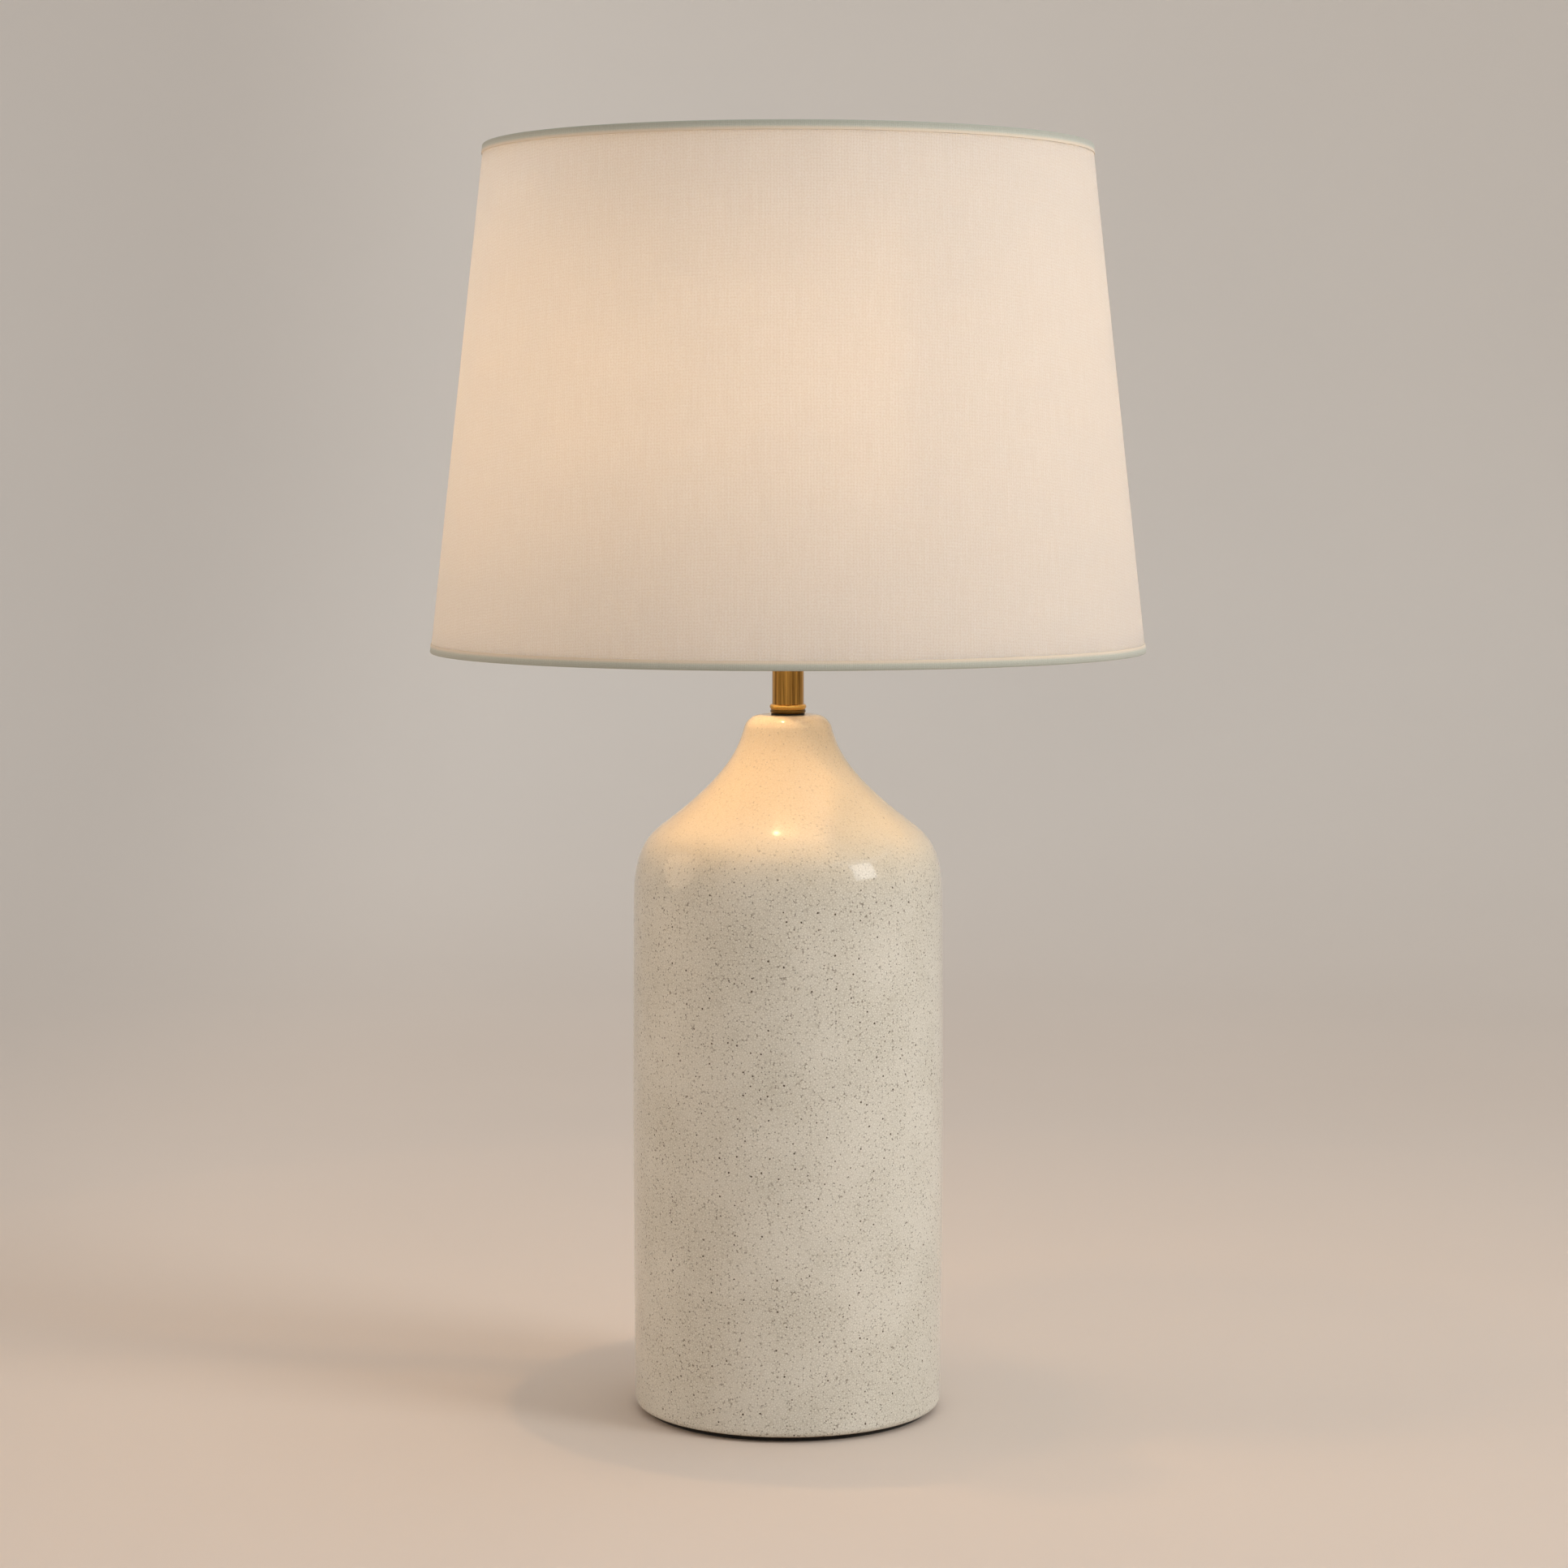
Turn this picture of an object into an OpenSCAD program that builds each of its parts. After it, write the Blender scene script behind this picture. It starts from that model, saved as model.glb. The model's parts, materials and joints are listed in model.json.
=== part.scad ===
// Table lamp: a crackle-glazed ceramic bottle on a felt pad, a brass neck, and a tapered linen drum shade
// on a harp. Millimetres, +Z up, the front faces -Y. The origin is on the table, under the lamp's centre.

/* [Ceramic body] */
// Radius just above the rounded foot
body_foot_r = 77.2; // [74:0.1:82]
// Radius where the shoulder starts
body_top_r = 77.4; // [74:0.1:82]
// How far the side swells out halfway up
body_belly = 0.7; // [0:0.1:3]
// Height of the flat top of the neck
body_top_z = 351.3; // [345:0.1:356]
// Height where the shoulder starts
shoulder_z = 259.5; // [240:0.5:265]
// Wall thickness
body_wall = 5; // [4:0.5:7]
// Rounding of the foot's outer edge
foot_round = 3.5; // [2:0.5:6]
// Rounding of the neck's lip
lip_round = 9; // [6:0.5:10]

/* [Foot] */
// Felt pad thickness
pad_h = 2.5; // [2:0.5:4]
// Felt pad radius
pad_r = 72; // [71:0.5:73]
// Height of the floor's underside inside the foot
recess_top_z = 28; // [26:1:36]
// Height of the cord inlet at the back
cord_z = 15; // [13:0.5:18]
// Bore radius of the cord inlet's bushing
cord_bore_r = 3.6; // [2.5:0.1:4]

/* [Neck] */
// Radius of the threaded pipe that clamps the lamp together
pipe_r = 4.8; // [4.5:0.1:4.85]
// Radius of the brass neck tube
tube_r = 7.9; // [7:0.1:8.3]
// Radius of the check ring under the tube
check_ring_r = 9.2; // [9:0.1:10]
// Height of the neck tube's top, where the harp saddle sits
saddle_z = 391; // [385:0.5:395]

/* [Shade] */
// Radius at the bottom edge
shade_bottom_r = 178; // [160:1:190]
// Radius at the top edge
shade_top_r = 150.5; // [130:0.5:160]
// Height of the bottom edge
shade_bottom_z = 383; // [375:1:386]
// Height of the top edge
shade_top_z = 632; // [630:1:636]
// Height of the rolled fabric trims
trim_h = 3.8; // [3:0.1:8]

/* [Harp and finial] */
// Half the width between the harp's legs
harp_half_w = 52; // [46:1:60]
// Height of the wire's centre at the harp's top
harp_top_z = 611; // [608:0.5:612]
// Radius of the harp wire
harp_wire_r = 1.7; // [1.4:0.1:1.7]
// Height of the finial's tip
finial_top_z = 640; // [638:0.5:644]

/* [Bulb] */
// Radius of the globe
bulb_r = 30; // [24:1:34]
// Length from contact to tip
bulb_len = 108; // [100:1:115]

/* [Hidden] */
$fn = 72;
fit = 0.05;            // gap between pieces that are fitted together
slip = 0.1;            // gap where one piece turns or slides in another

// ---- Ceramic body ----
foot_flat_z = pad_h;
foot_side_z = pad_h + foot_round;
inflection = [58.8, 299.3];
inflection_slope = 38;
neck_slope = 75.5;
neck_top = [22, body_top_z - lip_round * (1 - cos(neck_slope))];
shoulder_pulls = [28.5, 10];
neck_pulls = [32.5, 13.5];
floor_t = 6;
neck_ceiling_z = body_top_z - 9;
recess_r = body_foot_r - 6.7;
pipe_hole_r = pipe_r + 0.7;
inlet_hole_r = 5.05;

// ---- Foot hardware ----
washer_r = 25;
washer_t = 1.6;
lock_washer_r = 8;
lock_washer_t = 1.2;
nut_flats = 14.3;
nut_h = 4.8;
pipe_bottom_z = recess_top_z - 13;
pipe_bore_r = 3.2;
pipe_top_z = saddle_z + 9.5;
bushing_r = inlet_hole_r - fit;
bushing_flange_r = 7.5;
bushing_flange_t = 2.2;

// ---- Neck ----
gasket_t = 0.5;
check_ring_z = body_top_z + gasket_t;
check_ring_h = 4.8;
bead_r = 1.3;
tube_wall = 0.8;
tube_seat = 1.5;
saddle_t = 1.8;
saddle_w = 12;
ear_x = 29.4;
ear_shoulder_z = saddle_z + 10;
tongue_w = 4;
tongue_top_z = saddle_z + 21;

// ---- Socket ----
cap_z = saddle_z + saddle_t;
cap_hub_r = 7;
cap_hub_top_z = cap_z + 8;
cap_r = 17.7;
cap_skirt_z = cap_z + 16;
cap_top_z = cap_z + 26;
sheet_t = 0.6;
shell_r = 16.95;
shell_z = cap_z + 17;
shell_top_z = cap_z + 63;
rim_r = 0.7;
liner_r = shell_r - sheet_t - fit;
liner_t = 0.5;
block_z = cap_z + 18;
block_waist_z = cap_z + 29;
block_top_z = cap_z + 38;
block_r = 13.2;
block_half_w = 11.4;
switch_z = cap_z + 33;
switch_stem_r = 1.75;
switch_slot_r = 2.5;
terminal_z = cap_z + 24;
screw_shell_r = 13.3;
screw_shell_top_z = cap_z + 60;
contact_top_z = block_top_z + 2.9;

// ---- Leads ----
lead_r = 1.3;
lead_x = 1.5;
lead_bend_r = 2.6;
lead_cross_z = block_z - 2.4;
lead_terminal_x = 13.3;
lead_foot_bend_r = 4;
connector_x = 22;
connector_z = 9;
connector_len = 20;

// ---- Switch key ----
key_y = 20;
key_hub_r = 4.2;
key_hub_len = 6;
key_w = 15;
key_len = 13;
key_t = 3.4;

// ---- Bulb ----
bulb_z = contact_top_z + 0.3;
bulb_centre_z = bulb_z + bulb_len - bulb_r;
bulb_cap_r = 12.95;
bulb_cap_z = bulb_z + 4;
bulb_cap_top_z = bulb_z + 24;
bulb_cap_t = 0.4;
glass_t = 0.8;
glass_neck_r = bulb_cap_r - bulb_cap_t - fit;
stem_top_z = bulb_cap_top_z + 24;
filament_count = 4;
filament_ring_r = 7;
filament_len = 34;
filament_r = 0.9;

// ---- Harp ----
leg_x = ear_x + saddle_t + harp_wire_r + 0.3;
leg_z = ear_shoulder_z + 0.3;
leg_straight = 23;
leg_bend = 35;
leg_bend_r = 14;
arch_r = harp_half_w - 6;
leg_slant = (harp_half_w - leg_x - 2 * leg_bend_r * (1 - cos(leg_bend))) / sin(leg_bend);
leg_rise = leg_straight + 2 * leg_bend_r * sin(leg_bend) + leg_slant * cos(leg_bend);
leg_upper = harp_top_z - arch_r - leg_z - leg_rise;
sleeve_x = leg_x - 0.9;
sleeve_bore_r = 3.8;
sleeve_r = 4.7;
sleeve_h = 10;
boss_r = 5;
seat_z = harp_top_z + 4;
seat_r = 9;
stud_r = 3.15;
stud_top_z = seat_z + 10;

// ---- Shade ----
trim_t = 0.4;
cloth_t = 0.5;
styrene_t = 0.5;
ring_wire_r = 1.6;
hub_z = seat_z + slip;
hub_t = 1.6;
hub_r = 11;
arm_r = 1.5;
arm_count = 3;
arm_first = 90;
cloth_bottom_z = shade_bottom_z + trim_t + fit;
cloth_top_z = shade_top_z - trim_t - fit;
top_ring_z = cloth_top_z - ring_wire_r;
bottom_ring_z = cloth_bottom_z + ring_wire_r;

// ---- Finial ----
finial_z = hub_z + hub_t + slip;
ferrule_r = 6.5;
ferrule_h = 8.5;
finial_ball_r = 8.5;
finial_ball_z = finial_top_z - finial_ball_r;
finial_bore_top_z = stud_top_z + 1.5;

// ---- Helpers ----
function lerp(a, b, t) = a + (b - a) * t;

function bezier(p0, p1, p2, p3, n = 16) =
    [for (i = [0:n]) let (t = i / n, u = 1 - t)
        u * u * u * p0 + 3 * u * u * t * p1 + 3 * u * t * t * p2 + t * t * t * p3];

function arc(centre, r, a0, a1, n = 8) =
    [for (i = [0:n]) let (a = lerp(a0, a1, i / n)) centre + r * [cos(a), sin(a)]];

function tail(points) = [for (i = [1:len(points) - 1]) points[i]];

// The points moved by d towards the axis side of a profile that runs upwards
function inset(points, d) =
    [for (i = [1:len(points) - 2])
        let (t = points[i + 1] - points[i - 1], u = t / norm(t)) points[i] + d * [-u[1], u[0]]];

function reversed(points) = [for (i = [len(points) - 1:-1:0]) points[i]];

// Radius of the shade's outer face at a height, and of a layer that lies depth inside it
function shade_r(z) = lerp(shade_bottom_r, shade_top_r,
                           (z - shade_bottom_z) / (shade_top_z - shade_bottom_z));
function layer_r(z, depth) = shade_r(z) - depth;

// Radius of the ceramic's side below the shoulder
function side_r(z) = let (t = (z - foot_side_z) / (shoulder_z - foot_side_z))
    lerp(body_foot_r, body_top_r, t) + 4 * body_belly * t * (1 - t);

module tube(r, wall, z0, z1) {
    translate([0, 0, z0]) difference() {
        cylinder(r = r, h = z1 - z0);
        translate([0, 0, -1]) cylinder(r = r - wall, h = z1 - z0 + 2);
    }
}

module washer(r, hole_r, t) {
    difference() {
        cylinder(r = r, h = t);
        translate([0, 0, -1]) cylinder(r = hole_r, h = t + 2);
    }
}

module revolve(points) {
    rotate_extrude() polygon(points);
}

// The centre line of a wire bent in the XZ plane, as [x, z, heading], heading turning from +Z towards +X.
// A step is ["line", length] or ["bend", angle, radius].
function wire_line(steps, x = 0, z = 0, heading = 0, i = 0) =
    i == len(steps) ? [[x, z, heading]] :
    let (s = steps[i])
    s[0] == "line"
        ? concat([[x, z, heading]],
                 wire_line(steps, x + s[1] * sin(heading), z + s[1] * cos(heading), heading, i + 1))
        : let (side = sign(s[1]), count = ceil(abs(s[1]) / 9),
               cx = x + side * s[2] * cos(heading), cz = z - side * s[2] * sin(heading),
               on_arc = function (k) let (h = heading + s[1] * k / count)
                   [cx - side * s[2] * cos(h), cz + side * s[2] * sin(h), h],
               end = on_arc(count))
          concat([for (k = [0:count - 1]) on_arc(k)], wire_line(steps, end[0], end[1], end[2], i + 1));

// A round wire along such a line, starting at the origin
module bent_wire(steps, r, sides = 12) {
    line = wire_line(steps);
    rings = len(line);
    points = [for (p = line) for (j = [0:sides - 1])
        let (a = 360 * (j + 0.5) / sides)
        [p[0] + r * cos(a) * cos(p[2]), r * sin(a), p[1] - r * cos(a) * sin(p[2])]];
    ends = [[for (j = [0:sides - 1]) j], [for (j = [sides - 1:-1:0]) (rings - 1) * sides + j]];
    sleeve = [for (i = [0:rings - 2]) for (j = [0:sides - 1])
        let (k = (j + 1) % sides) [i * sides + j, (i + 1) * sides + j, (i + 1) * sides + k, i * sides + k]];
    polyhedron(points, concat(ends, sleeve));
}

// ---- Ceramic body and foot ----
side_points = [for (i = [0:12]) let (z = lerp(foot_side_z, shoulder_z, i / 12)) [side_r(z), z]];
slope_in = [-cos(inflection_slope), sin(inflection_slope)];
slope_up = [-cos(neck_slope), sin(neck_slope)];
shoulder_points = bezier([body_top_r, shoulder_z], [body_top_r, shoulder_z + shoulder_pulls[0]],
                         inflection - shoulder_pulls[1] * slope_in, inflection);
neck_points = bezier(inflection, inflection + neck_pulls[0] * slope_in,
                     neck_top - neck_pulls[1] * slope_up, neck_top);
foot_points = arc([body_foot_r - foot_round, foot_side_z], foot_round, -90, 0);
lip_points = arc(neck_top - lip_round * [sin(neck_slope), cos(neck_slope)], lip_round, 90 - neck_slope, 90);
wall_points = concat(side_points, tail(shoulder_points), tail(neck_points));

module ceramic_body() {
    floor_z = recess_top_z + floor_t;
    hollow = [for (p = inset(wall_points, body_wall)) if (p[1] > floor_z + 1 && p[1] < neck_ceiling_z) p];
    hollow_top_r = hollow[len(hollow) - 1][0];
    color("ivory") difference() {
        revolve(concat([[0, foot_flat_z]], foot_points, tail(wall_points), tail(lip_points),
                       [[0, body_top_z]]));
        revolve(concat([[0, floor_z], [hollow[0][0], floor_z]], hollow,
                       [[hollow_top_r, neck_ceiling_z], [0, neck_ceiling_z]]));
        cylinder(r = recess_r, h = recess_top_z);
        cylinder(r = pipe_hole_r, h = body_top_z + 1);
        translate([0, 0, cord_z]) rotate([-90, 0, 0]) cylinder(r = inlet_hole_r, h = body_foot_r + 5);
    }
}

module base_pad() {
    color("dimgray") cylinder(r = pad_r, h = pad_h);
}

module cord_bushing() {
    face_y = side_r(cord_z);
    lip_y = recess_r - 0.5;
    color("black") difference() {
        union() {
            translate([0, lip_y - 1.5, cord_z]) rotate([-90, 0, 0])
                cylinder(r = bushing_r, h = face_y - lip_y + 2);
            translate([0, lip_y - 1.5, cord_z]) rotate([-90, 0, 0])
                cylinder(r1 = bushing_r, r2 = bushing_r + 0.6, h = 1.5);
            difference() {
                translate([0, face_y - 1, cord_z]) rotate([-90, 0, 0])
                    cylinder(r = bushing_flange_r, h = bushing_flange_t + 1);
                cylinder(r = face_y + fit, h = 2 * cord_z);
            }
        }
        translate([0, lip_y - 5, cord_z]) rotate([-90, 0, 0]) cylinder(r = cord_bore_r, h = 20);
    }
}

module base_washer() {
    color("silver") translate([0, 0, recess_top_z - washer_t]) washer(washer_r, pipe_r + slip, washer_t);
}

module lock_washer() {
    color("silver") translate([0, 0, recess_top_z - washer_t - lock_washer_t]) difference() {
        washer(lock_washer_r, pipe_r + slip, lock_washer_t);
        translate([pipe_r - 1, -0.4, -1]) cube([lock_washer_r, 0.8, lock_washer_t + 2]);
    }
}

module base_nut() {
    color("silver") translate([0, 0, recess_top_z - washer_t - lock_washer_t - nut_h]) difference() {
        cylinder(r = nut_flats / 2 / cos(30), h = nut_h, $fn = 6);
        translate([0, 0, -1]) cylinder(r = pipe_r + fit, h = nut_h + 2);
    }
}

module lamp_pipe() {
    color("gold") tube(pipe_r, pipe_r - pipe_bore_r, pipe_bottom_z, pipe_top_z);
}

// ---- Neck ----
module neck_gasket() {
    color("black") translate([0, 0, body_top_z]) washer(check_ring_r - 0.8, pipe_r + slip, gasket_t);
}

// A rounded bead over a bevelled foot, with the tube's seat in the top
module check_ring() {
    foot_r = check_ring_r - 0.3;
    color("goldenrod") translate([0, 0, check_ring_z]) difference() {
        revolve(concat([[0, 0], [check_ring_r - 1, 0], [foot_r, 0.9], [foot_r, 1.7], [foot_r - 0.3, 2]],
                       arc([check_ring_r - bead_r, check_ring_h - bead_r], bead_r, -50, 90),
                       [[0, check_ring_h]]));
        translate([0, 0, check_ring_h - tube_seat]) cylinder(r = tube_r + fit, h = tube_seat + 1);
        translate([0, 0, -1]) cylinder(r = pipe_r + slip, h = check_ring_h + 1);
    }
}

module neck_tube() {
    color("darkgoldenrod") tube(tube_r, tube_wall, check_ring_z + check_ring_h - tube_seat, saddle_z);
}

// A strip bent up at both ends, its ends cut narrow to fit inside the sleeves
module harp_saddle() {
    bend_r = 2;
    outside = arc([ear_x - bend_r, saddle_z + saddle_t + bend_r], bend_r + saddle_t, -90, 0);
    inside = arc([ear_x - bend_r, saddle_z + saddle_t + bend_r], bend_r, 0, -90);
    half = concat(outside, [[ear_x + saddle_t, tongue_top_z], [ear_x, tongue_top_z]], inside);
    cut_w = saddle_w - tongue_w;
    color("darkgoldenrod") difference() {
        translate([0, saddle_w / 2, 0]) rotate([90, 0, 0]) linear_extrude(saddle_w)
            polygon(concat(half, [for (p = reversed(half)) [-p[0], p[1]]]));
        for (side = [-1, 1]) translate([-2 * ear_x, side * saddle_w / 2 - cut_w / 2, ear_shoulder_z])
            cube([4 * ear_x, cut_w, saddle_w * 2]);
        translate([0, 0, saddle_z - 1]) cylinder(r = pipe_r + slip, h = saddle_t + 2);
    }
}

// ---- Socket ----
module switch_slot() {
    rotate([90, 0, 0]) translate([0, switch_z, 0]) cylinder(r = switch_slot_r, h = cap_r + 5);
    translate([-switch_slot_r, -cap_r - 5, cap_z]) cube([2 * switch_slot_r, cap_r + 5, switch_z - cap_z]);
}

module socket_cap() {
    bell = bezier([cap_hub_r, cap_hub_top_z - 1], [cap_hub_r + 0.5, cap_hub_top_z + 4],
                  [cap_r, cap_hub_top_z + 2], [cap_r, cap_skirt_z], 10);
    bell_inside = inset(bell, sheet_t);
    inner_r = bell_inside[0][0];
    color("goldenrod") difference() {
        revolve(concat([[pipe_r + slip, cap_z], [cap_hub_r, cap_z]], bell,
                       [[cap_r, cap_top_z], [cap_r - sheet_t, cap_top_z], [cap_r - sheet_t, cap_skirt_z]],
                       reversed(bell_inside), [[inner_r, cap_hub_top_z], [pipe_r + slip, cap_hub_top_z]]));
        translate([0, 0, cap_z + 4]) rotate([90, 0, 0]) cylinder(r = 1.25, h = cap_hub_r + 1);
    }
}

module cap_set_screw() {
    color("silver") difference() {
        translate([0, -pipe_r - fit, cap_z + 4]) rotate([90, 0, 0]) cylinder(r = 1.2, h = 3.4);
        translate([-0.25, -pipe_r - 3.6, cap_z]) cube([0.5, 0.8, 8]);
    }
}

module socket_shell() {
    color("goldenrod") difference() {
        union() {
            tube(shell_r, sheet_t, shell_z, shell_top_z);
            translate([0, 0, shell_top_z - rim_r]) rotate_extrude()
                translate([shell_r - 0.1, 0]) circle(r = rim_r);
        }
        switch_slot();
    }
}

module socket_liner() {
    color("tan") difference() {
        tube(liner_r, liner_t, shell_z + 0.5, shell_top_z - 3);
        switch_slot();
    }
}

module socket_insulator() {
    color("#2a1a12") difference() {
        union() {
            translate([0, 0, block_waist_z]) cylinder(r = block_r, h = block_top_z - block_waist_z);
            intersection() {
                translate([0, 0, block_z]) cylinder(r = block_r, h = block_waist_z - block_z);
                translate([-block_half_w, -block_r, block_z])
                    cube([2 * block_half_w, 2 * block_r, block_waist_z - block_z]);
            }
        }
        translate([0, -4, switch_z]) rotate([90, 0, 0]) cylinder(r = switch_stem_r + slip, h = block_r);
        for (side = [-1, 1])
            translate([side * block_half_w, 0, terminal_z]) rotate([0, -side * 90, 0])
                translate([0, 0, -1]) cylinder(r = 1.5 + fit, h = 5);
        translate([0, 0, block_top_z - 4]) cylinder(r = 1.5 + fit, h = 5);
    }
}

module screw_shell() {
    color("silver") {
        tube(screw_shell_r + 0.5, 0.5, block_top_z, screw_shell_top_z);
        translate([0, 0, block_top_z]) washer(screw_shell_r + 0.2, 8, 0.6);
    }
}

module centre_contact() {
    color("gold") {
        translate([0, 0, block_top_z - 3]) cylinder(r = 1.5, h = contact_top_z - block_top_z + 2.6);
        translate([0, 0, contact_top_z - 0.6]) cylinder(r = 3.5, h = 0.6);
    }
}

module terminal_screws() {
    color("gold") for (side = [-1, 1])
        translate([side * (block_half_w - 3.5), 0, terminal_z]) rotate([0, side * 90, 0]) {
            cylinder(r = 1.5, h = 3.6);
            difference() {
                translate([0, 0, 3.55]) cylinder(r = 2.4, h = 2);
                translate([-3, -0.35, 4.9]) cube([6, 0.7, 2]);
            }
        }
}

// ---- Leads from the splice in the foot, up the pipe, to the socket's terminals ----
module lead(side) {
    pipe_run = lead_cross_z - lead_bend_r - connector_z - lead_foot_bend_r;
    cross = lead_terminal_x - lead_x - 2 * lead_bend_r;
    terminal_run = terminal_z - 2.5 - lead_cross_z - lead_bend_r;
    mirror([side > 0 ? 0 : 1, 0, 0]) translate([connector_x, 0, connector_z]) rotate([0, -90, 0])
        bent_wire([["line", connector_x - lead_x - lead_foot_bend_r], ["bend", 90, lead_foot_bend_r],
                   ["line", pipe_run], ["bend", 90, lead_bend_r], ["line", cross],
                   ["bend", -90, lead_bend_r], ["line", terminal_run]], lead_r, 8);
}

module lead_live() {
    color("black") lead(1);
}

module lead_neutral() {
    color("white") lead(-1);
}

module wire_connectors() {
    color("orange") for (side = [-1, 1])
        translate([side * connector_x, 0, connector_z]) rotate([0, side * 90, 0])
            cylinder(r1 = 5.5, r2 = 3.5, h = connector_len);
}

// ---- Switch ----
module switch_stem() {
    color("gold") translate([0, -4.5, switch_z]) rotate([90, 0, 0])
        cylinder(r = switch_stem_r, h = key_y + key_hub_len - 4.5);
}

module switch_key() {
    color("black") translate([0, -key_y, switch_z]) rotate([90, 0, 0]) difference() {
        union() {
            cylinder(r = key_hub_r, h = key_hub_len + 2);
            translate([0, 0, 3]) rotate([90, 0, 0]) translate([0, 0, -key_t / 2]) linear_extrude(key_t) {
                translate([0, key_len - key_w / 2]) circle(d = key_w);
                translate([-key_hub_r, 0]) square([2 * key_hub_r, key_len - key_w / 2]);
            }
        }
        translate([0, 0, -1]) cylinder(r = switch_stem_r + 0.02, h = key_hub_len + 1.1);
    }
}

// ---- Bulb ----
bulb_cone_angle = 38;
globe_joint = [bulb_r * cos(bulb_cone_angle), bulb_centre_z - bulb_r * sin(bulb_cone_angle)];
globe_tangent = [sin(bulb_cone_angle), cos(bulb_cone_angle)];
glass_points = concat([[glass_neck_r, bulb_cap_top_z - 5]],
    bezier([glass_neck_r, bulb_cap_top_z + 1], [glass_neck_r + 1.6, bulb_cap_top_z + 12],
           globe_joint - 14 * globe_tangent, globe_joint, 10),
    tail(arc([0, bulb_centre_z], bulb_r, -bulb_cone_angle, 90, 20)));

module bulb_envelope() {
    inside = inset(glass_points, glass_t);
    color("white") revolve(concat(glass_points, [[0, bulb_z + bulb_len - glass_t]], reversed(inside),
                                  [[glass_neck_r - glass_t, bulb_cap_top_z - 5]]));
}

module bulb_screw_cap() {
    r = bulb_cap_r;
    t = bulb_cap_t;
    color("silver") revolve([[9.5, bulb_cap_z - 1], [r, bulb_cap_z + 1.5], [r, bulb_cap_top_z],
                             [r - t, bulb_cap_top_z], [r - t, bulb_cap_z + 1.7], [9.5, bulb_cap_z - 0.5]]);
}

module bulb_insulator() {
    color("#1c1c1c") translate([0, 0, bulb_z + 1.5]) cylinder(r1 = 5.5, r2 = 9.4, h = 1.9);
}

module bulb_contact() {
    color("silver") revolve(concat([[0, bulb_z]], arc([2.6, bulb_z + 1.5], 1.5, -90, 0, 4),
                                   [[0, bulb_z + 1.5]]));
}

module bulb_stem() {
    color("lightgray") translate([0, 0, bulb_cap_top_z - 3]) {
        cylinder(r1 = 9, r2 = 3.5, h = 8);
        cylinder(r = 3, h = stem_top_z - bulb_cap_top_z + 3);
    }
}

module bulb_filaments() {
    color("orange") for (i = [0:filament_count - 1])
        rotate([0, 0, 45 + i * 360 / filament_count]) translate([filament_ring_r, 0, stem_top_z - 6])
            cylinder(r = filament_r, h = filament_len);
    color("silver") for (z = [stem_top_z - 6, stem_top_z - 6 + filament_len])
        translate([0, 0, z - 0.5]) washer(filament_ring_r + 0.6, filament_ring_r - 0.6, 0.5);
}

// ---- Harp ----
module harp_wire() {
    leg_up = [["line", leg_straight], ["bend", leg_bend, leg_bend_r], ["line", leg_slant],
              ["bend", -leg_bend, leg_bend_r], ["line", leg_upper]];
    leg_down = [["line", leg_upper], ["bend", -leg_bend, leg_bend_r], ["line", leg_slant],
                ["bend", leg_bend, leg_bend_r], ["line", leg_straight]];
    arch = [["bend", -90, arch_r], ["line", 2 * (harp_half_w - arch_r)], ["bend", -90, arch_r]];
    color("darkgoldenrod") translate([leg_x, 0, leg_z])
        bent_wire(concat(leg_up, arch, leg_down), harp_wire_r);
}

module harp_top() {
    color("goldenrod") difference() {
        union() {
            translate([0, 0, harp_top_z - 2.8]) cylinder(r = boss_r, h = 5);
            translate([0, 0, seat_z - 2]) cylinder(r = seat_r, h = 2);
            translate([0, 0, seat_z - 1]) cylinder(r = stud_r, h = stud_top_z - seat_z + 1);
        }
        translate([-boss_r - 5, 0, harp_top_z]) rotate([0, 90, 0])
            cylinder(r = harp_wire_r + 0.02, h = 2 * boss_r + 10);
    }
}

module harp_sleeve(side) {
    color("goldenrod") translate([side * sleeve_x, 0, ear_shoulder_z + 0.2]) difference() {
        cylinder(r = sleeve_r, h = sleeve_h);
        translate([0, 0, -1]) cylinder(r = sleeve_bore_r, h = sleeve_h + 2);
    }
}

module harp_sleeve_left() {
    harp_sleeve(-1);
}

module harp_sleeve_right() {
    harp_sleeve(1);
}

// ---- Shade ----
// A layer of the shade's wall, from z0 to z1, its outer face depth inside the shade's outline
module shade_layer(depth, thickness, z0, z1) {
    revolve([[layer_r(z0, depth), z0], [layer_r(z1, depth), z1],
             [layer_r(z1, depth + thickness), z1], [layer_r(z0, depth + thickness), z0]]);
}

cloth_depth = trim_t + fit;
styrene_depth = cloth_depth + cloth_t + fit;
ring_depth = styrene_depth + styrene_t + fit + ring_wire_r;
top_ring_r = layer_r(top_ring_z, ring_depth) - 0.05;
bottom_ring_r = layer_r(bottom_ring_z, ring_depth) - 0.25;

module spider_arms(r) {
    start = [hub_r - 0.5, hub_z + hub_t / 2];
    end = [top_ring_r - ring_wire_r / 2, top_ring_z];
    run = end - start;
    for (i = [0:arm_count - 1]) rotate([0, 0, arm_first + i * 360 / arm_count])
        translate([start[0], 0, start[1]]) rotate([0, atan2(run[0], run[1]), 0])
            cylinder(r = r, h = norm(run));
}

module shade_frame() {
    color("gainsboro") {
        translate([0, 0, top_ring_z]) rotate_extrude() translate([top_ring_r, 0]) circle(r = ring_wire_r);
        translate([0, 0, hub_z]) washer(hub_r, stud_r + 0.25, hub_t);
        spider_arms(arm_r);
    }
}

module shade_bottom_ring() {
    color("gainsboro") translate([0, 0, bottom_ring_z]) rotate_extrude()
        translate([bottom_ring_r, 0]) circle(r = ring_wire_r);
}

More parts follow.
